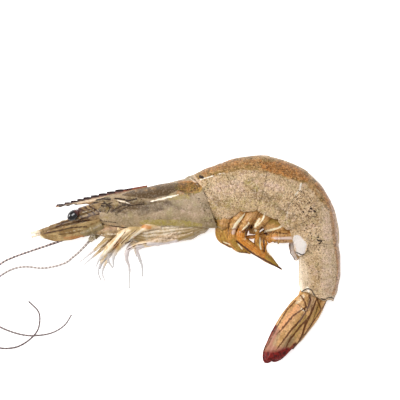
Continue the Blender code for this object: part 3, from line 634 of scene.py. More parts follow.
wear(head_shell, head_finish, HEAD_MARKS)

# Breast and gill chamber
# Below the head shell's rim the soft breast carries the legs. Fine bristles run along it in rows.

BREAST = (
    # s, top, bottom, half width
    (6, -4.5, -7.6, 2.4), (11, -5.0, -11.6, 3.6), (18, -5.0, -13.8, 4.4), (26, -5.0, -14.0, 4.9),
    (33, -5.0, -13.6, 4.9), (38, -5.0, -11.8, 4.4), (42, -4.5, -9.2, 3.4),
)
BREAST_POINTS, BREAST_ROWS = 72, 70
BREAST_MARKS = {
    "pink": ((0.8, 1.2, ((-20, -15.2), (-14, -15.8), (-8, -15.4))),),
    "olive": ((0.8, 2, ((-24.8, -13), (-22, -14.5))), (0.8, 3, ((-6, -12.5), (0, -11)))),
}


def breast_ring(s):
    top, bottom, width = [along([(row[0], row[k]) for row in BREAST], s) for k in (1, 2, 3)]
    middle, half = (top + bottom) / 2, (top - bottom) / 2
    angles = [2 * math.pi * k / BREAST_POINTS for k in range(BREAST_POINTS)]
    return np.array([head_spot(s, middle + half * math.cos(a), width * math.sin(a)) for a in angles])


def breast_finish():
    flesh = Finish("breast", Subsurface_Weight=0.15, Subsurface_Radius=FLESH_GLOW, Subsurface_Scale=2 * MM,
                   Coat_Weight=0.1, Coat_Roughness=0.15, Specular_IOR_Level=0.3)
    bristles = flesh.stripes("X", 7.0, 3.0)
    flesh.start(0.35, 0.65, 2.0, tint(206, 188, 162), tint(168, 140, 96))
    flesh.over(flesh.fade(bristles, 0.55, 0.9) * 0.4, tint(230, 216, 194))
    flesh.over(flesh.dots(0.7, 0.36, 0.16, 0.42, 0.56, 1.6) * 0.6, tint(84, 60, 40))
    flesh.over(flesh.fade(bristles, 0.25, 0.05) * 0.5, tint(110, 84, 52))
    flesh.stain("pink", 0, tint(216, 202, 204))
    flesh.over(flesh.layer("olive") * (0.5 + 0.7 * flesh.noise(1.5)), tint(140, 112, 56))
    return flesh.done(0.35 + 0.2 * flesh.noise(1.0), flesh.bump(bristles, 0.15))


front, rear = BREAST[0][0], BREAST[-1][0]
rows = [breast_ring(front + (rear - front) * k / BREAST_ROWS) for k in range(BREAST_ROWS + 1)]
breast = skin("breast", rows)
wear(breast, breast_finish(), BREAST_MARKS)

# Rostrum
# A stiff blade with saw teeth along its top grows out over the eyes and runs back along the head.

ROSTRUM_TIP = np.array((-53.6, -2.5, 0))
ROSTRUM_END = np.array((-20.5, 5.2, 0))
ROSTRUM_WAY = (ROSTRUM_END - ROSTRUM_TIP) / np.linalg.norm(ROSTRUM_END - ROSTRUM_TIP)
ROSTRUM_ABOVE = np.array((-ROSTRUM_WAY[1], ROSTRUM_WAY[0], 0))
ROSTRUM_LENGTH, ROSTRUM_WIDE = 34.0, 1.2
NARROW, FULL_FROM = 0.45, 16  # share of the width near the tip, and how far back the width is full
TIP_START, TIP_RUN = 0.4, 1.5
THIN_EDGE = 0.45  # how much thinner the toothed edge is than the underside
TOOTH_POINTS = (0.9, 3.6, 6.0, 8.3, 10.6, 13.4, 16.3, 19.3, 22.4, 25.6)
FIRST_TOOTH = 0.8
CREST, CREST_GROWTH, CREST_LENGTH = 0.25, 0.35, 14
TOOTH_SHAPE = ((0, 0.62, 1), (0.55, 0.3, 0))  # shares of a tooth's length, and its rise there
REAR_CREST, REAR_SLOPE = 0.6, 0.5 / 8.5
ROSTRUM_UNDERSIDE = ((0, -0.1), (1.9, -0.55), (3.5, -0.35), (4.6, -0.8), (6.4, -0.55), (7.9, -1.1),
                     (10.4, -1.35), (14, -2.5), (20, -2.7), (33.9, -2.2))
ROSTRUM_ROWS, ROSTRUM_POINTS = 300, 20


def rostrum_top(reach):
    """Height of the toothed edge: steep in front of each tooth and sloping behind it."""
    if reach < TOOTH_POINTS[0]:
        return FIRST_TOOTH * reach / TOOTH_POINTS[0]
    for point, following in zip(TOOTH_POINTS, TOOTH_POINTS[1:]):
        if reach < following:
            crest = CREST + CREST_GROWTH * smooth(point / CREST_LENGTH)
            return crest + np.interp((reach - point) / (following - point), *TOOTH_SHAPE)
    return REAR_CREST - REAR_SLOPE * (reach - TOOTH_POINTS[-1])


def rostrum_ring(reach):
    top, low = rostrum_top(reach), along(ROSTRUM_UNDERSIDE, reach)
    wide = ROSTRUM_WIDE / 2 * (NARROW + (1 - NARROW) * smooth(reach / FULL_FROM))
    wide *= smooth((reach + TIP_START) / TIP_RUN)
    ring = []
    for k in range(ROSTRUM_POINTS):
        a = 2 * math.pi * k / ROSTRUM_POINTS
        rise = (top + low) / 2 + (top - low) / 2 * math.cos(a)
        thick = wide * math.sin(a) * (1 - THIN_EDGE * max(0.0, math.cos(a)))
        ring.append(ROSTRUM_TIP + ROSTRUM_WAY * reach + ROSTRUM_ABOVE * rise + (0, 0, HEAD_MIDDLE + thick))
    return np.array(ring)


def rostrum_finish():
    horn = Finish("rostrum", Coat_Weight=0.1, Coat_Roughness=0.12, Specular_IOR_Level=0.25)
    horn.start(0.35, 0.65, 1.2, tint(168, 136, 100), tint(124, 94, 62))
    horn.stain("keel", 0, tint(112, 42, 34), 0.9)
    horn.stain("cream_and_highlight", 0, tint(228, 204, 172))
    horn.stain("teeth", 0, tint(36, 15, 13))
    return horn.done(0.3 + 0.15 * horn.noise(0.8), horn.bump(horn.noise(0.7), 0.06))


def on_rostrum(*spots):
    """Places on the floor plan, from each spot's reach behind the tip and its rise."""
    return [(ROSTRUM_TIP + ROSTRUM_WAY * reach + ROSTRUM_ABOVE * rise)[:2] for reach, rise in spots]


teeth = [on_rostrum((point, 0.9), (point + 1.1, 0.8), (point + 2.4, 0.45)) for point in TOOTH_POINTS]
ROSTRUM_MARKS = {
    "keel": ((1, (0.7, 0.9, 1.1, 0.6), on_rostrum((0, 0.5), (12, 0.7), (26, 0.5), (34, 0.1))),),
    "teeth": ((1, (0.8, 1.2, 0.9), *teeth), (0.9, 0.45, on_rostrum((1.6, -0.3), (4, -0.45), (7.6, -0.8)))),
    "cream_and_highlight": ((0.8, 0.5, on_rostrum((1, -0.35), (12, -0.6), (20, -0.8))),),
}
rows = [rostrum_ring(ROSTRUM_LENGTH * k / ROSTRUM_ROWS) for k in range(ROSTRUM_ROWS + 1)]
wear(skin("rostrum", rows), rostrum_finish(), ROSTRUM_MARKS)

# Eyes
# Each is a glossy black bead on a short jointed stalk, brown at the collar where the stalk holds it.

EYE_SIZE = np.array((4.9, 3.5, 3.4))
EYE_TILT, EYE_OUT = 38.0, 4.7
EYE_ROWS, EYE_POINTS = 40, 48
COLLAR_ROW, COLLAR_INSET = 30, 0.05  # from which row on the collar holds the bead, and how tightly
SIDES = ((1, "left"), (-1, "right"))


def eye_finish():
    cornea = Finish("eye", Coat_Weight=1.0, Coat_IOR=1.7, Coat_Roughness=0.08, Specular_IOR_Level=0.0)
    cornea.start(0.4, 0.6, 1.0, tint(6, 4, 5), tint(18, 11, 12))
    cornea.over(cornea.fade(cornea.part(1), 0.6, 0.74), tint(74, 30, 24))
    return cornea.done(0.2 + 0.1 * cornea.noise(0.8), cornea.bump(cornea.cells(0.12), 0.002))


def eye_ring(middle, k):
    """The ring round an eye that is the k-th from its front."""
    a = math.pi * k / EYE_ROWS
    long, high, wide = EYE_SIZE / 2
    held = math.sin(a) * (1 - COLLAR_INSET * smooth((k - COLLAR_ROW) / 4))
    centre, up = middle - unit(EYE_TILT) * long * math.cos(a), unit(EYE_TILT + 90)
    turns = np.linspace(0, 2 * math.pi, EYE_POINTS, endpoint=False)
    return [centre + up * high * held * math.cos(b) + (0, 0, wide * held * math.sin(b)) for b in turns]


cornea = eye_finish()
for side, word in SIDES:
    middle = np.array((*LEFT_EYE[:2], HEAD_MIDDLE + side * EYE_OUT))
    reach = unit(EYE_TILT) * EYE_SIZE[0] / 2
    rows = [eye_ring(middle, k) for k in range(1, EYE_ROWS)]
    eye = skin(f"eye_bead_{word}", rows, middle - reach, middle + reach)
    wear(eye, cornea)
    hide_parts(f"eye_{word}")

# Face
# Eye stalks, the forked first feelers, a broad scale on each side and the stout roots of the whips
# are all jointed chitin, hinged to the front of the head. Short jaws close the mouth from below.


def route_through(points, count):
    """Places evenly spread by length along a smooth curve through given ones."""
    points = [np.array(p, float) for p in points]
    ends = [points[0] * 2 - points[1], *points, points[-1] * 2 - points[-2]]
    fine = []
    for a, b, c, d in zip(ends, ends[1:], ends[2:], ends[3:]):
        for t in np.arange(16) / 16:
            bend = (2 * a - 5 * b + 4 * c - d) * t**2 + (3 * b - a - 3 * c + d) * t**3
            fine.append(b + ((c - a) * t + bend) * 0.5)
    fine = np.array([*fine, points[-1]])
    reach = np.concatenate([[0], np.cumsum(np.linalg.norm(np.diff(fine, axis=0), axis=1))])
    wanted = np.linspace(0, reach[-1], count)
    return np.stack([np.interp(wanted, reach, fine[:, k]) for k in range(3)], axis=1)


def spread(values):
    """A table for along() that has its values evenly between 0 and 1."""
    return [(k / (len(values) - 1), value) for k, value in enumerate(values)]


def ways(route):
    """The way ahead at each place of a route."""
    ahead = np.gradient(route, axis=0)
    return ahead / np.linalg.norm(ahead, axis=1)[:, None]


# how far a joint swells a limb, how sharply, and the same for the waist just beyond it
KNOT_SWELL, KNOT_SHARPNESS = 0.22, 28
WAIST, WAIST_SHARPNESS, WAIST_BEYOND = 0.16, 40, 0.035
RIB_WIDTH = 0.09
TIP_OVERHANG, LEAF_OVERHANG = 0.8, 0.5  # how far an end stands out, as a share of its last radius or width
THINNEST = 0.35


def hump(t):
    """1 in the middle, and 0 some way off to either side."""
    return math.exp(-t * t)


def limb(name, points, radii, rows, around, knots=()):
    """A round jointed limb along a route. Knots are the shares of its length where a joint swells it."""
    route = route_through(points, rows)
    made = []
    for k, (place, ahead) in enumerate(zip(route, ways(route))):
        share = k / (rows - 1)
        radius = along(spread(radii), share)
        for knot in knots:
            radius *= (1 + KNOT_SWELL * hump((share - knot) * KNOT_SHARPNESS)
                       - WAIST * hump((share - knot - WAIST_BEYOND) * WAIST_SHARPNESS))
        side = np.cross(ahead, (0, 0, 1))
        side = side / np.linalg.norm(side)
        over = np.cross(side, ahead)
        angles = np.linspace(0, 2 * math.pi, around, endpoint=False)
        made.append([place + radius * (side * math.cos(a) + over * math.sin(a)) for a in angles])
    return skin(name, made, back=route[-1] + ways(route)[-1] * radii[-1] * TIP_OVERHANG)


def leaf(name, points, widths, thickness, across, rows, around, cup=0.0, ribs=(), rib=0.12, blunt=0.0):
    """A leaf-shaped plate along a route. Ribs are places across it, from -1 to 1, that stand proud of it.
    A blunt share of its length is rounded off at the tip."""
    route = route_through(points, rows)
    made = []
    for k, (place, ahead) in enumerate(zip(route, ways(route))):
        share = k / (rows - 1)
        wide = np.array(across, float) - ahead * np.dot(across, ahead)
        wide = wide / np.linalg.norm(wide)
        face = np.cross(ahead, wide)
        half = along(spread(widths), share)
        if blunt:
            half *= math.sqrt(max(0.02, 1 - max(0.0, (share - 1 + blunt) / blunt) ** 2))
        thick = thickness / 2 * min(1.0, THINNEST + half / 2)
        ring = []
        for a in np.linspace(0, 2 * math.pi, around, endpoint=False):
            u, v = -math.cos(a), math.sin(a)
            relief = sum(rib * hump((u - place_of_rib) / RIB_WIDTH) for place_of_rib in ribs)
            rise = v * (thick + relief * min(1.0, half)) - cup * half * u * u
            ring.append(place + wide * half * u + face * rise)
        made.append(ring)
    overhang = 0.0 if blunt else LEAF_OVERHANG * widths[-1]
    return skin(name, made, back=route[-1] + ways(route)[-1] * overhang)


def face_finish(name, pale, deep, edge):
    """Clear yellowish chitin with brown pigment in fine dots, and painted shade along both long sides of each
    piece, where it turns away from above.
    """
    plate = Finish(name, Subsurface_Weight=0.15, Subsurface_Radius=FLESH_GLOW, Subsurface_Scale=1.5 * MM,
                   Coat_Weight=0.1, Coat_Roughness=0.12, Specular_IOR_Level=0.3)
    plate.start(0.35, 0.65, 2.2, pale, deep)
    plate.over(plate.dots(0.6, 0.38, 0.18, 0.42, 0.58, 1.4) * 0.6, tint(92, 62, 36))
    # Painted shade: darker along both long sides, where the piece turns away from above.
    plate.over(plate.edges(0.06, 0.06) * 0.8, edge)
    plate.stain("dark", 1.0, tint(66, 40, 24))
    plate.stain("cream_and_highlight", 0.8, tint(236, 220, 194))
    plate.stain("rust", 0, tint(172, 106, 56))
    plate.stain("collar", 0, tint(64, 28, 20))
    return plate.done(0.3 + 0.2 * plate.noise(1.0), plate.bump(plate.noise(0.9), 0.08))


def mirrored(points, side, middle):
    """Points given as (x, y, distance from the mid-plane), put on the left (1) or the right (-1)."""
    return [(x, y, middle + side * out) for x, y, out in points]


FACE_LIMBS = {
    # name: route, radii, knots
    "eyestalk": (((-36, -2, 1.6), (-40.4, -3.2, 2.8), (-44.6, -4.2, 4.1)), (1.7, 1.7, 1.5), (0.45,)),
    "feeler": (((-37, -5.2, 1.5), (-46, -7.3, 1.5), (-51.4, -8.9, 1.5), (-57.2, -10.7, 1.2)),
               (1.8, 1.4, 1.2, 0.8), (0.45, 0.68, 0.88)),
    "feeler_upper_tip": (((-56.6, -10.5, 1.2), (-59.6, -11.4, 1.9), (-62.3, -11.8, 2)),
                         (0.8, 0.65, 0.4), (0.3, 0.6)),
    "feeler_lower_tip": (((-56.6, -11, 1.2), (-59.6, -12.3, 1), (-62, -13.3, 1.1)),
                         (0.8, 0.65, 0.4), (0.3, 0.6)),
}
SCALE_ROUTE = ((-37, -8.4, 3.0), (-44, -10.6, 3.9), (-51, -12.2, 3.9), (-58.6, -13.0, 3.1))
SCALE_WIDTHS = (2.0, 2.6, 2.8, 2.3, 0.8)
JAW_ROUTE = ((-39.5, -11.0, 2.4), (-34.5, -11.0, 2.9), (-28.5, -10.4, 2.6))
JAW_WIDTHS = (1.3, 2.5, 2.5)
SOCKET_ROUTES = {
    "left": ((-36.5, -9.0, 9.5), (-41.5, -11.2, 9.9), (-46.4, -12.8, 9.7)),
    "right": ((-35.5, -9.0, 4.9), (-38.6, -11.8, 4.4), (-41.2, -14.6, 3.9)),
}
BROW_ROUTE = ((-35, -4.4, 2.6), (-39.5, -5.4, 3.4), (-44.8, -6.2, 3.4))
BROW_WIDTHS = (3.0, 2.4, 1.2)
STALK_MARKS = {
    "cream_and_highlight": ((0.8, 2.4, ((-60.5, -12), (-62.5, -12.4))), (0.5, 0.4, ((-43.4, -4.4), (-39.6, -3.4)))),
    "dark": ((0.8, 0.45, ((-44.2, -3.2), (-41, -5.2)), ((-42.8, -2.4), (-39.2, -4.9)), ((-53, -9.6),
            (-47, -8), (-41, -7.2), (-37, -8.4)), ((-45, -7.2), (-40.4, -5.6), (-37.6, -5))),
        (0.6, 0.45, ((-44.8, -5.8), (-40.3, -7))), (0.8, 0.5, ((-41, -2.2), (-37.4, -4.4))),
        (0.7, 0.5, ((-53, -8.6), (-46, -6.8))), (0.6, 0.35, ((-50, -9.9), (-44, -9), (-39, -9.6))),
        (0.9, 0.6, ((-43.4, -1.9), (-40.8, -1.3), (-38, -0.6)))),
    "collar": ((1, 1.6, ((-45.6, -4.6), (-44.9, -3.8))),),
}
SCALE_MARKS = {
    "dark": ((0.9, 0.6, ((-58.4, -10.6), (-51.8, -8.6), (-48, -7.4))),
        (0.75, 0.4, ((-57.4, -12), (-51.6, -10.9), (-47, -9.8), (-42, -9.6))),
        (0.6, 0.35, ((-52, -12.4), (-46, -11.6), (-41, -10.6)))),
    "cream_and_highlight": ((0.85, 1.7, ((-60.6, -12.4), (-57.8, -14.8))), (0.4, 0.3, ((-50, -11.7), (-44, -10.4)))),
    "rust": ((0.5, (0.4, 0.8, 0.5), ((-50, -13.6), (-46.5, -13.4), (-43, -13.2))),),
}
JAW_MARKS = {
    "rust": ((0.3, 0.8, ((-39.5, -10.4), (-34.5, -10.2), (-28.5, -10))),),
    "cream_and_highlight": ((0.5, 0.6, ((-36.6, -12.4), (-32, -12.2))),),
}
ROOT_MARKS = {
    "cream_and_highlight": ((0.5, 1.6, ((-40, -13.6), (-41.4, -15))),),
    "rust": ((0.6, (0.5, 0.8, 0.4), ((-48.2, -12.4), (-45, -12.9), (-42, -13.4))),),
}

stalk_finish = face_finish("face_chitin", tint(166, 138, 98), tint(118, 92, 58), tint(80, 54, 30))
scale_finish = face_finish("antennal_scale", tint(172, 144, 98), tint(128, 100, 58), tint(78, 50, 28))
root_finish = face_finish("antenna_root", tint(146, 126, 88), tint(118, 100, 66), tint(90, 68, 42))
for side, word in SIDES:
    for name, (route, radii, knots) in FACE_LIMBS.items():
        stalk = limb(f"{name}_{word}", mirrored(route, side, HEAD_MIDDLE), radii, 40, 20, knots)
        wear(stalk, stalk_finish, STALK_MARKS)
    brow = leaf(f"brow_{word}", mirrored(BROW_ROUTE, side, HEAD_MIDDLE), BROW_WIDTHS, 1.6, (0, 1, 0), 40, 36)
    wear(brow, stalk_finish, STALK_MARKS)
    scale = leaf(f"antennal_scale_{word}", mirrored(SCALE_ROUTE, side, HEAD_MIDDLE), SCALE_WIDTHS, 0.8,
                 (0.25, 1, side * 0.3), 60, 48, 0.12 * side, (-0.55, 0.1, 0.6))
    wear(scale, scale_finish, SCALE_MARKS)
    jaw = leaf(f"jaw_{word}", mirrored(JAW_ROUTE, side, HEAD_MIDDLE), JAW_WIDTHS, 2.4, (0, 1, 0), 30, 32)
    wear(jaw, stalk_finish, JAW_MARKS)
    root = limb(f"antenna_root_{word}", SOCKET_ROUTES[word], (2.0, 1.7, 0.9), 40, 28, (0.4, 0.75))
    wear(root, root_finish, ROOT_MARKS)

# Walking legs
# Five pairs and the leg-like mouthparts before them, thin jointed tubes of clear chitin over pale
# muscle, hinged to the breast. The left ones hang over the right ones, which lie folded on the floor.

LEGS = {
    "mouth_leg": (((-30.2, -10.0, 10.4), (-34.9, -14.0, 8.2), (-38.9, -17.6, 5.2), (-42.1, -20.1, 3.0),
                   (-45.4, -22.7, 1.4)), (0.9, 1.0, 0.7, 0.4, 0.2)),
    "leg_1": (((-25.8, -9.8, 10.8), (-29.9, -12.2, 10.2), (-34.2, -16.6, 7.6), (-36.4, -20.9, 4.4),
               (-38.3, -25.6, 1.9), (-37.4, -29.2, 1.0)), (0.9, 1.1, 1.0, 0.75, 0.38, 0.28)),
    "leg_2": (((-21.4, -9.8, 11.0), (-27.4, -11.4, 11.4), (-32.0, -15.5, 9.6), (-36.0, -19.4, 6.2),
               (-38.2, -22.0, 3.8), (-39.2, -24.5, 2.2)), (1.0, 1.2, 1.1, 0.9, 0.6, 0.22)),
    "leg_3": (((-15.5, -9.6, 11.0), (-20.7, -9.9, 12.2), (-26.6, -13.0, 11.4), (-31.0, -17.6, 8.2),
               (-32.6, -20.5, 5.6), (-32.8, -24.1, 3.4)), (1.0, 1.2, 1.15, 1.0, 0.7, 0.26)),
    "leg_4": (((-9.5, -11.6, 10.6), (-17.0, -14.4, 10.6), (-26.3, -17.1, 9.0), (-27.9, -20.9, 6.6),
               (-27.0, -24.5, 4.2), (-27.0, -32.0, 1.0)), (1.3, 1.25, 0.9, 0.75, 0.4, 0.25)),
    "leg_5": (((-3.8, -11.6, 10.2), (-13.0, -14.6, 10.0), (-23.6, -17.0, 8.4), (-23.4, -20.5, 6.0),
               (-22.4, -23.8, 3.6), (-22.3, -27.7, 1.4)), (1.4, 1.3, 1.0, 0.85, 0.5, 0.3)),
}
FAR_LEG_SHIFT = (1.5, 0.2)
TUCKED_LEGS = {  # how the three rear right legs bend under the breast, beside the left ones
    "leg_3": ((-15.5, -9.6, 4.2), (-21.4, -11.2, 4.4), (-28, -14.8, 4.1), (-32.4, -18.2, 3),
              (-34.8, -21.2, 2), (-33.2, -24.6, 1.2)),
    "leg_4": ((-9.5, -11.4, 4.2), (-17, -13.4, 3.9), (-25.4, -15.2, 3.2), (-28, -18.4, 2.3),
              (-28.2, -22.4, 1.2)),
    "leg_5": ((-3.8, -12, 3.7), (-13, -14.8, 3.6), (-22.6, -16.2, 3), (-24.6, -18.2, 2.2),
              (-24.4, -20.4, 1.4)),
}
FAR_LEG_HEIGHT = 0.36
FAR_LEG_SPLAY, SPLAY_FROM = 0.08, -30
LOWEST_LEG = 0.9


def leg_finish():
    """Cream muscle seen through golden chitin, with painted shade along both sides of each limb, and grey at
    its tip.
    """
    leg = Finish("legs", Subsurface_Weight=0.1, Subsurface_Radius=(1.0, 0.9, 0.8), Subsurface_Scale=0.6 * MM,
                 Coat_Weight=0.1, Coat_Roughness=0.12, Specular_IOR_Level=0.3)
    leg.start(0.35, 0.65, 2.6, tint(230, 206, 171), tint(200, 170, 121))
    # Painted shade along both sides of each limb, where the tube turns away from above.
    leg.over(leg.edges(0.1, 0.12) * 0.5, tint(176, 136, 80))
    leg.over(leg.dots(0.7, 0.35, 0.15, 0.45, 0.6, 1.5) * 0.6, tint(120, 74, 36))
    bristles = leg.mix(leg.clouds(0.4, 0.6, 0.8), tint(206, 182, 156), tint(160, 132, 98))
    leg.over(leg.layer("breast"), bristles)
    leg.stain("olive", 0, tint(138, 112, 58))
    leg.stain("lilac", 0, tint(206, 196, 196))
    leg.stain("cream_and_highlight", 0, tint(240, 228, 208))
    leg.stain("rust", 0, tint(196, 124, 56))
    leg.stain("dark", 0.8, tint(88, 58, 30))
    leg.over(leg.fade(leg.part(1), 0.64, 0.84) * 0.9, tint(203, 200, 199))
    return leg.done(0.28 + 0.2 * leg.noise(1.0), leg.bump(leg.noise(0.8), 0.06))


LEG_MARKS = {
    "breast": ((0.85, (2, 5, 5, 4), ((-22, -13), (-16, -13), (-6, -12.6), (2, -11))),),
    "olive": ((0.8, (2, 2.6, 1.8), ((-8, -14.2), (-3, -13), (1, -11.2))),
        (0.55, (1.6, 2.2, 1.6), ((-34, -19), (-30, -15.4), (-24, -10.6))),
        (0.5, 1.6, ((-38.6, -17.8), (-34, -13)))),
    "lilac": ((0.9, 3, ((-27.5, -18), (-27, -32))), (0.9, 2.6, ((-23, -17.6), (-22, -28))),
        (0.95, (3.8, 4.4), ((-39, -25), (-37, -31))),
        (0.9, (1.6, 3.2, 3.8), ((-40.4, -19), (-43.6, -22), (-46, -24))),
        (0.8, 2.6, ((-33, -23), (-32, -26))), (0.8, 1, ((-20, -15.8), (-14, -16), (-10, -15)))),
    # Painted highlights along the legs.
    "cream_and_highlight": ((0.6, (0.5, 0.8, 0.5), ((-28.6, -10.8), (-33, -16.4), (-36, -19.6))),
        (0.65, (0.4, 0.7, 0.4), ((-20.8, -9.6), (-25.6, -13.4), (-28.2, -16.8))),
        (0.8, (0.4, 0.6, 0.4), ((-34.6, -14.8), (-38.6, -17.8)))),
    "rust": ((0.8, 0.9, ((-21.8, -9.4), (-19.4, -9.8))), (0.45, (0.8, 1.2), ((-30, -14), (-32, -17))),
        (0.6, 0.7, ((-24.8, -13.4), (-22.2, -14.2)))),
    # Dark lines along and between the legs: painted shade in the gaps between them.
    "dark": ((0.8, 0.4, ((-28.2, -15.6), (-24.8, -14), (-21, -13.2))),
        (0.7, 0.3, ((-29.6, -15.6), (-27.4, -13.4), (-24, -10.6)), ((-36.6, -22.6), (-33.4, -19.4)),
            ((-27.4, -17.8), (-24.4, -16.2), (-20.8, -15.6)), ((-32.4, -16.6), (-31, -15), (-28.2, -11.4))),
        (0.6, 0.3, ((-34.4, -23), (-32, -20.4)), ((-37, -17.2), (-33.4, -14)), ((-20, -11.4), (-12, -12.2),
            (-4, -12)), ((-18, -13.4), (-10, -13.8))), (0.65, 0.3, ((-34.6, -15.4), (-31.4, -12.6)))),
}
legs_finish = leg_finish()
for name, (route, radii) in LEGS.items():
    far = []
    for x, y, z in route:
        splay = FAR_LEG_SPLAY * (x - SPLAY_FROM)
        far.append((x + FAR_LEG_SHIFT[0], y + FAR_LEG_SHIFT[1] + splay, max(LOWEST_LEG, FAR_LEG_HEIGHT * z)))
    far = TUCKED_LEGS.get(name, far)
    joints = [k / (len(route) - 1) for k in range(1, len(route) - 1)]
    for word, points in (("left", route), ("right", far)):
        leg = limb(f"{name}_{word}", points, radii, 100, 32, joints)
        wear(leg, legs_finish, LEG_MARKS)

# Swimmerets
# Five pairs of paddles hang under the tail: a stout stem each, then a soft tapering blade swept back.

SWIMMERETS = (
    # stem from hip to knee, its radii, blade route, half widths, distance from the mid-plane at the knee
    # and how far the right one is shifted, so that it shows past the left
    (((7.6, -2.6), (6.6, -9.4)), (2.4, 2.9, 2.3),
     ((6.6, -8.8), (6.9, -12.6), (9.2, -15.4), (13.0, -16.9)), (2.6, 2.7, 1.6, 0.4), 4.0, (1.2, 0)),
    (((14.6, -2.0), (10.2, -9.6)), (1.8, 2.1, 1.6),
     ((10.3, -9.0), (9.8, -13.0), (11.4, -16.8), (16.6, -19.2)), (1.4, 1.6, 1.3, 0.35), 4.2, (1.2, 0)),
    (((19.6, -1.6), (13.6, -10.4)), (1.8, 2.1, 1.5),
     ((13.7, -9.8), (13.2, -14.2), (18.6, -18.4), (27.9, -24.9)), (1.5, 1.85, 1.3, 0.3), 4.2, (1.2, 0)),
    (((25.4, -3.0), (18.4, -9.6)), (1.8, 2.1, 1.5),
     ((19.1, -9.0), (19.1, -13.0), (19.4, -16.6), (22.8, -19.6)), (0.9, 0.75, 0.75, 0.35), 3.9, (-1.2, -1.8)),
    (((32.0, -12.8), (25.0, -13.3)), (2.5, 2.5, 2.1),
     ((25.0, -13.2), (21.4, -15.4), (21.6, -19.0), (26.6, -23.6)), (1.5, 1.5, 1.3, 0.35), 3.6, (-2.6, 1.4)),
)
SEGMENT_PITCH = 10.0
HIP_INSET = 1.4
LOWEST_PADDLE = 1.0
PADDLE_INSET, PADDLE_FALL = 0.7, 0.5  # how far a blade starts in from its knee, and sinks at each place
PADDLE_RIBS = (-0.5, 0, 0.5)
CROSSED = (4, -1)  # number and side of the blade that lies across its neighbours
CROSSING_BLADE = ((21.4, -11.6, 3.6), (18.4, -13.2, 3.2), (15.4, -13.6, 2.8), (13.4, -15.6, 2.2))
BELLY_ROUTE = ((-1, -5, 7), (5, -6, 7), (14, -4.6, 7.2), (20, -5.6, 7.2), (25.2, -8.6, 6.6), (31.6, -13, 5.8))
BELLY_WIDTHS = (2.6, 3.0, 2.2, 2.6, 4.2, 1.8)


def paddle_finish(name, pale, deep, veined):
    """Soft amber blades with darker veins along them and a few olive blotches."""
    paddle = Finish(name, Subsurface_Weight=0.15, Subsurface_Radius=(1.0, 0.6, 0.3),
                    Subsurface_Scale=1.2 * MM, Coat_Weight=0.1, Coat_Roughness=0.14, Specular_IOR_Level=0.3)
    veins = paddle.stripes("X", 4.5, 1.5)
    paddle.start(0.35, 0.65, 2.4, pale, deep)
    paddle.stain("rust", 0, tint(204, 126, 34), 0.85)
    paddle.stain("olive", 0, tint(150, 122, 40), 0.9)
    paddle.over(paddle.clouds(0.54, 0.66, 1.1, 2.0) * 0.5, tint(226, 178, 104))
    paddle.over(paddle.fade(veins, 0.6, 0.95) * veined, tint(112, 62, 18))
    paddle.over(paddle.clouds(0.55, 0.66, 1.5, 2.0, 0.6, 0.6) * 0.6, tint(132, 74, 24))
    paddle.over(paddle.clouds(0.5, 0.6, 0.6, 2.0, 0.6, 1.0) * 0.4, tint(104, 60, 20))
    paddle.stain("lilac", 0, tint(222, 198, 186))
    paddle.stain("cream_and_highlight", 0.7, tint(236, 222, 188))
    paddle.stain("dark", 0.6, tint(76, 40, 14))
    return paddle.done(0.3 + 0.2 * paddle.noise(1.0), paddle.bump(veins, 0.08))


PADDLE_MARKS = {
    "rust": ((1, 2.6, ((13.4, -11.6), (13.8, -14.4))),
        (0.9, 1.7, ((13, -14.4), (18.7, -18), (21.6, -19.8))),
        (0.8, 1.6, ((25.4, -13.4), (21.6, -16), (21.6, -18.6))), (0.7, 1, ((14.8, -13.2), (18.4, -13.4)))),
    "olive": ((0.9, (1, 1.3, 0.8), ((22.6, -20.4), (25, -22.2), (27.6, -24.4))),
        (0.8, (1, 1.2, 1), ((10.2, -14.6), (12.6, -18), (16.4, -19.2))),
        (0.8, 1.5, ((24, -7.6), (28.6, -8.2))), (0.9, 1, ((25.2, -15.8), (30.8, -16.2))),
        (0.6, (1.8, 2.2), ((3.6, -8), (6.6, -14)))),
    "lilac": ((0.9, 0.65, ((25.4, -13.7), (31.4, -13.7))), (0.7, 0.8, ((11.2, -9), (10.4, -11.8)))),
    # Painted highlights along the stems and along the edges of the blades.
    "cream_and_highlight": ((0.9, (0.3, 0.8, 0.5), ((14.6, -4.9), (11.9, -8), (10.6, -10))),
        (0.8, 0.4, ((16, -8.3), (14.4, -10.1), (13, -11.2))),
        (0.5, 0.4, ((15.6, -9.6), (14.9, -12), (14.8, -14.2))),
        (0.9, 0.55, ((19.8, -6.8), (18.3, -9), (18.5, -11))),
        (0.9, 0.4, ((21.6, -5.2), (20.9, -7.2), (19.1, -9)), ((20.2, -13.7), (20, -15.5), (20.4, -17.6))),
        (0.85, 0.5, ((29.2, -8.8), (26.3, -10.1), (22, -11.3))), (0.7, 0.4, ((12.2, -15.5), (13.7, -17.6))),
        (0.6, 0.4, ((22.8, -18.8), (24.8, -20.5), (26.2, -22.2))), (0.6, 0.35, ((7, -15), (9.2, -15.9)))),
    "dark": ((0.9, 0.45, ((11.7, -14.8), (15.5, -17.7), (18.4, -19.9), (20.9, -21), (24.1, -22.8),
            (27.4, -24.6))), (0.7, 0.6, ((16.6, -9), (14, -11.5))),
        (0.7, 0.5, ((21.4, -14), (21.7, -18.4))), (0.9, 0.6, ((17.1, -10), (17.7, -9))),
        (0.9, 0.55, ((21.9, -12.1), (22.6, -12.3))), (0.7, 0.35, ((6.4, -15.2), (9.8, -17))),
        (0.5, 0.4, ((9, -8), (8.4, -14))), (0.6, 0.35, ((12.4, -18.6), (15.4, -18.9))),
        (0.6, 0.5, ((24, -11.4), (30, -12.2)))),
}
blade_finish = paddle_finish("swimmeret_blades", tint(208, 154, 74), tint(178, 124, 52), 0.35)
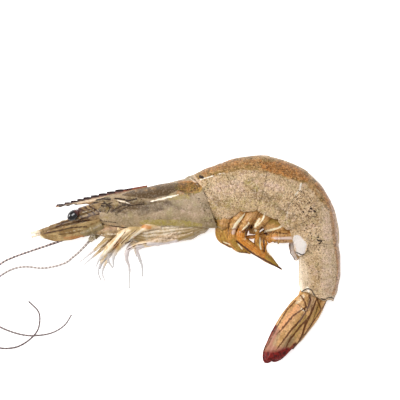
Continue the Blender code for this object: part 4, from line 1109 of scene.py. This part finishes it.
stem_finish = paddle_finish("swimmeret_stems", tint(198, 152, 98), tint(176, 130, 70), 0.12)
belly = leaf("belly", BELLY_ROUTE, BELLY_WIDTHS, 7.0, (0.3, 1, 0), 90, 48)
wear(belly, stem_finish, PADDLE_MARKS)
for number, (stem, radii, paddle, widths, out, far_shift) in enumerate(SWIMMERETS, start=1):
    middle = middle_at(SEGMENT_PITCH * number)
    for side, word in SIDES:
        dx, dy = (0, 0) if side > 0 else far_shift
        outs = (out - HIP_INSET, out)
        hip, knee = [np.array((x + dx, y + dy, middle + side * o)) for (x, y), o in zip(stem, outs)]
        route = []
        for k, (x, y) in enumerate(paddle):
            apart = 1 - k / (len(paddle) - 1)
            height = max(LOWEST_PADDLE, middle + side * (out - PADDLE_INSET - PADDLE_FALL * k))
            route.append((x + dx * apart, y + dy * apart, height))
        if (number, side) == CROSSED:
            route = CROSSING_BLADE
        shaft = limb(f"swimmeret_stem_{number}_{word}", (hip, (hip + knee) / 2, knee), radii, 44, 36, (0.8,))
        blade = leaf(f"swimmeret_{number}_{word}", route, widths, 1.3, (1, 0.6, 0.15 * side), 70, 44, 0,
                     PADDLE_RIBS)
        wear(shaft, stem_finish, PADDLE_MARKS)
        wear(blade, blade_finish, PADDLE_MARKS)

# Flaps
# The fifth segment's side plates end in rounded flaps over the front of the sixth, milky white inside.

FLAP_ROUTE = ((34.8, -12.5, 5.5), (34.7, -16.5, 5.3), (34.6, -20.0, 4.6))
FLAP_WIDTHS = (2.4, 2.9, 2.4, 0.9)
FAR_FLAP_SHIFT = (-1.2, -1.6)
FLAP_MARKS = {
    "lilac": (*TAIL_MARKS["lilac"], (0.75, 0.9, ((31.8, -16), (32.2, -19.4), (33.4, -21.6)))),
    "dark": ((0.75, 0.3, ((33.4, -18.8), (35, -19.7), (36.6, -19.2), (37.4, -18.2))),
             (0.55, 0.5, ((31, -14.4), (31.2, -19), (33, -22)))),
    "pink": ((0.6, 1.4, ((31.4, -16), (31.6, -19.6), (33.2, -22))),),
}
for side, word in SIDES:
    dx, dy = (0, 0) if side > 0 else FAR_FLAP_SHIFT
    route = [(x + dx, y + dy, z) for x, y, z in mirrored(FLAP_ROUTE, side, SEGMENTS[4][2] - SUNK)]
    flap = leaf(f"side_flap_{word}", route, FLAP_WIDTHS, PLATE, (1, 0, 0.25 * side), 60, 56)
    wear(flap, tail_finish, FLAP_MARKS)

# Tail fan
# A pointed middle spine and two broad blades on each side fold together behind the last segment.
# They are stiffened by ribs and edged with a short fringe, and their tips are deep red.

FAN_HEADING = -122.0
FAN_ROOT = np.array((39.0, -34.6, TAIL_END_WIDTH))
TELSON = ((-3, 4.0, 0), (5, 5.1, 0), (12, 4.6, 0), (20, 3.9, 0))
FAN_CORE = ((-3, 0, 0), (1.5, -0.2, 0), (5, -0.4, 0))
INNER_BLADE = ((0, 1.4, 2.6), (8, 2.4, 3.3), (16, 2.1, 3.2), (26.6, 0.5, 2.0))
OUTER_BLADE = ((0, -2.4, 2.8), (8, -2.7, 3.8), (18, -2.4, 3.6), (28.4, -1.5, 1.8))
INNER_WIDTHS = (1.5, 2.3, 2.9, 2.9, 2.5, 1.9)
OUTER_WIDTHS = (1.8, 2.8, 3.3, 3.3, 3.0, 2.3)
FAR_BLADE_SHIFT = 1.2
BLADE_LEAN = 0.3
BLADE_RIBS, BLADE_RIB, BLADE_BLUNT = (-0.5, 0.0, 0.15), 0.16, 0.13


def fan_place(s, up, out=0.0):
    return FAN_ROOT + unit(FAN_HEADING) * s + unit(FAN_HEADING + 90) * up + np.array((0, 0, out))


def fan_finish():
    fan = Finish("tail_fan", Subsurface_Weight=0.1, Subsurface_Radius=FLESH_GLOW, Subsurface_Scale=1.2 * MM,
                 Coat_Weight=0.05, Coat_Roughness=0.14, Specular_IOR_Level=0.2)
    fan.start(0.35, 0.65, 2.4, tint(210, 164, 110), tint(176, 132, 78))
    fan.stain("peach", 0, tint(222, 160, 110))
    fan.stain("olive", 0, tint(168, 134, 74))
    fan.stain("grey", 0, tint(150, 124, 96))
    fan.over(fan.clouds(0.5, 0.58, 0.6, 2.0, 0.6, 1.0) * 0.45, tint(104, 72, 38))
    fan.stain("rose", 0, tint(172, 106, 96), 0.8)
    red = fan.layer("red")
    fan.over((red * (0.75 + 0.8 * fan.noise(1.6))).least(1.0), tint(116, 22, 16))
    fan.over((red * fan.clouds(0.5, 0.62, 1.1)).least(0.8), tint(52, 12, 10))
    fan.stain("cream_and_highlight", 0.7, tint(232, 214, 184))
    fan.stain("rib", 0.9, tint(92, 52, 18))
    return fan.done(0.36 + 0.2 * fan.noise(1.0), fan.bump(fan.noise(0.7), 0.08))


FAN_MARKS = {
    "peach": ((0.8, (1.4, 1.8, 1.2), ((33.6, -38.6), (30.4, -42.4), (27.6, -46.4))),),
    "olive": ((0.8, (1, 1.6, 1.4), ((36.6, -42), (33.4, -47), (30.2, -52))),
        (0.6, 1.4, ((41.6, -38), (38, -44.4)))),
    "grey": ((0.7, (1.6, 2, 2.2), ((26.4, -47.6), (24.8, -51), (24, -54))),
        (0.7, 2.2, ((31, -50), (27.8, -54.4))), (0.6, 1.6, ((38.6, -34.6), (38.8, -39)))),
    "rose": ((0.7, (0.7, 1.4, 2.6), ((26.6, -46.4), (23.8, -51), (22.6, -54.6))),
        (0.7, (2.6, 2), ((23, -54), (29, -54.4)))),
    "red": ((0.8, (0.5, 0.8, 1), ((26, -45.4), (22.8, -50.4), (20.7, -55))),
        (1, (3.6, 4, 3), ((22.4, -57), (26, -57.4), (30, -55.2))),
        (0.8, 1.3, ((29.6, -56), (32.8, -52.4)))),
    "cream_and_highlight": ((0.9, 0.5, ((35, -39.2), (36.3, -39.8))), (0.5, (0.8, 1.2), ((33.2, -37), (35.6, -34.8)))),
    "rib": ((0.8, (0.35, 0.6, 0.35), ((36.4, -38.5), (31.7, -41.8), (28.8, -45.4), (26.3, -48.2))),
        (0.8, (0.35, 0.6, 0.5, 0.3), ((37.1, -39.6), (34.6, -43.2), (31.7, -46.1), (28.8, -50),
            (25.9, -54))),
        (0.8, (0.3, 0.5, 0.6, 0.4), ((38.9, -37.8), (38.2, -41.4), (34.6, -45.4), (31, -50),
            (29.5, -52.9))),
        (0.8, (0.4, 0.55, 0.6, 0.45), ((40.3, -36), (38.9, -40), (36.4, -45), (35.3, -48.6),
            (34.2, -51.1))), (0.8, 0.5, ((37.8, -34.4), (38.4, -36), (37.2, -39))),
        (0.8, 0.45, ((34.8, -34.4), (36.2, -36.4), (36.8, -38.6))), (0.75, 0.5, ((40.6, -35.4), (42, -39))),
        (0.7, 0.4, ((33, -36.2), (29.9, -39.4), (26.6, -45), (23.6, -51.1), (21.2, -55)), ((44.3, -36.4),
            (40.7, -41.8), (36.4, -48.2), (31.3, -54.4))), (0.9, 0.45, ((36, -39.2), (36.4, -40))),
        (0.6, 0.3, ((33, -37), (35, -38.2), (36.2, -37.6)))),
}
fan_up = unit(FAN_HEADING + 90)
spine_route, core_route = [[fan_place(*p) for p in table] for table in (TELSON, FAN_CORE)]
fan_pieces = [
    leaf("telson", spine_route, (2.6, 2.2, 1.6, 0.35), 2.2, (0, 0, 1), 60, 40, 0.2, (-0.35, 0.35)),
    leaf("fan_core", core_route, (4.6, 4.6, 3.2), 6.0, fan_up, 30, 40),
]
for side, word in SIDES:
    reach = 0 if side > 0 else FAR_BLADE_SHIFT
    lean = np.array((0, 0, side * BLADE_LEAN))
    for name, points, widths, thick, across in (
        ("inner_blade", INNER_BLADE, INNER_WIDTHS, 0.9, fan_up - lean),
        ("outer_blade", OUTER_BLADE, OUTER_WIDTHS, 1.0, fan_up + lean),
    ):
        route = [fan_place(s + reach, up, side * out) for s, up, out in points]
        blade = leaf(f"{name}_{word}", route, widths, thick, across, 110, 64, 0.1 * side, BLADE_RIBS,
                     BLADE_RIB, BLADE_BLUNT)
        fan_pieces.append(blade)
fan_blades = fan_finish()
for piece in fan_pieces:
    wear(piece, fan_blades, FAN_MARKS)

# Antennae
# Two long limp whips of fine rings leave their sockets, sink to the floor and loop back.

WHIPS = {
    "left": ((-54.4, -15.7, 6.6), (-65.1, -19.3, 2.9), (-70.2, -21.2, 1.5), (-73.4, -22.9, 0.9),
             (-79.5, -27.6, 0.4), (-85.0, -34.5, 0.35), (-85.8, -42.5, 0.35), (-81.5, -50.0, 0.35),
             (-75.0, -53.5, 0.35), (-68.7, -53.5, 0.45), (-63.9, -51.1, 1.1), (-60.5, -47.5, 1.1),
             (-59.6, -43.5, 0.4), (-60.3, -40.2, 0.35), (-63.6, -36.8, 0.6)),
    "right": ((-44.6, -18.2, 2.6), (-47.4, -20.6, 1.5), (-50.8, -23.0, 0.7), (-57.9, -24.7, 0.4),
              (-64.5, -24.2, 0.4), (-69.0, -24.9, 0.4), (-73.4, -27.2, 0.4), (-78.6, -31.6, 0.35),
              (-80.6, -37.4, 0.35), (-78.0, -43.2, 0.35), (-73.4, -46.4, 0.35), (-66.9, -48.7, 0.3),
              (-61.5, -49.2, 0.3), (-55.5, -48.3, 0.3), (-50.8, -45.6, 0.3), (-48.1, -41.7, 0.45)),
}
WHIP_RADII = (0.46, 0.38, 0.34, 0.32, 0.26)
WHIP_GAP = 0.5


def whip_finish(name, pale, deep, ring):
    whip = Finish(name, Coat_Weight=0.2, Coat_Roughness=0.2)
    rings = whip.stripes("Y", 21.0, 1.0)
    whip.colour = pale
    whip.over(whip.clouds(0.4, 0.6, 2.5) * 0.6, deep)
    whip.over(whip.fade(rings, 0.35, 0.6) * 0.85, ring)
    whip.over(whip.fade(whip.part(1), 0.3, 0.5) * 0.75, tint(72, 46, 46))
    return whip.done(0.4 + 0.1 * whip.noise(1.0), whip.bump(rings, 0.04))


WHIP_COLOURS = {"left": (tint(178, 160, 152), tint(120, 90, 84), tint(56, 36, 38)),
                "right": (tint(214, 206, 200), tint(178, 164, 156), tint(138, 120, 114))}
for side, word in SIDES:
    socket, first = [np.array(point, float) for point in (SOCKET_ROUTES[word][-1], WHIPS[word][0])]
    start = socket + (first - socket) / np.linalg.norm(first - socket) * WHIP_GAP
    whip = limb(f"whip_{word}", (start, *WHIPS[word]), WHIP_RADII, 320, 12)
    wear(whip, whip_finish(f"whip_{word}", *WHIP_COLOURS[word]))
    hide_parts(f"antenna_{word}")

# Floor, light and camera
# A white table under one broad soft light, seen from straight above.

bpy.ops.object.select_all(action="DESELECT")
bpy.ops.mesh.primitive_plane_add(size=6.0, location=(0, 0, -0.0003))
floor = bpy.context.object
floor.name = "floor"
table_top = Finish("white_table")
table_top.shader.inputs["Base Color"].default_value = (0.9, 0.9, 0.9, 1)
table_top.shader.inputs["Roughness"].default_value = 0.9
table_top.shader.inputs["Emission Color"].default_value = (1, 1, 1, 1)
table_top.shader.inputs["Emission Strength"].default_value = 0.6
floor.data.materials.append(table_top.material)

scene = bpy.context.scene
scene.world = bpy.data.worlds.new("studio")
scene.world.use_nodes = True
studio = scene.world.node_tree.nodes["Background"]
studio.inputs["Color"].default_value = (1, 1, 1, 1)
studio.inputs["Strength"].default_value = 0.4


def soft_light(name, place, size, power, aim):
    lamp = bpy.data.lights.new(name, "AREA")
    lamp.shape = "RECTANGLE"
    lamp.size, lamp.size_y = size
    lamp.energy = power
    holder = bpy.data.objects.new(name, lamp)
    scene.collection.objects.link(holder)
    holder.location = place
    holder.rotation_euler = (Vector(aim) - Vector(place)).to_track_quat("-Z", "Y").to_euler()


soft_light("ceiling", (-0.1, 0.15, 0.7), (0.5, 0.4), 4.4, (0.0, 0.0, 0.0))
soft_light("window", (-0.45, 0.1, 0.2), (0.2, 0.12), 1.2, (-0.03, 0.01, 0.01))

VIEW_MIDDLE = (17.0, 21.56)
VIEW_WIDTH = 144.0
VIEW_LEVEL = 7.0  # height at which the view is that wide
LENS, SENSOR = 200.0, 36.0
camera = bpy.data.objects.new("camera", bpy.data.cameras.new("camera"))
camera.data.lens, camera.data.sensor_width = LENS, SENSOR
camera.data.clip_start, camera.data.clip_end = 0.01, 20.0
camera.location = (VIEW_MIDDLE[0] * MM, VIEW_MIDDLE[1] * MM, (VIEW_LEVEL + VIEW_WIDTH * LENS / SENSOR) * MM)
scene.collection.objects.link(camera)
scene.camera = camera
scene.view_settings.view_transform = "Standard"
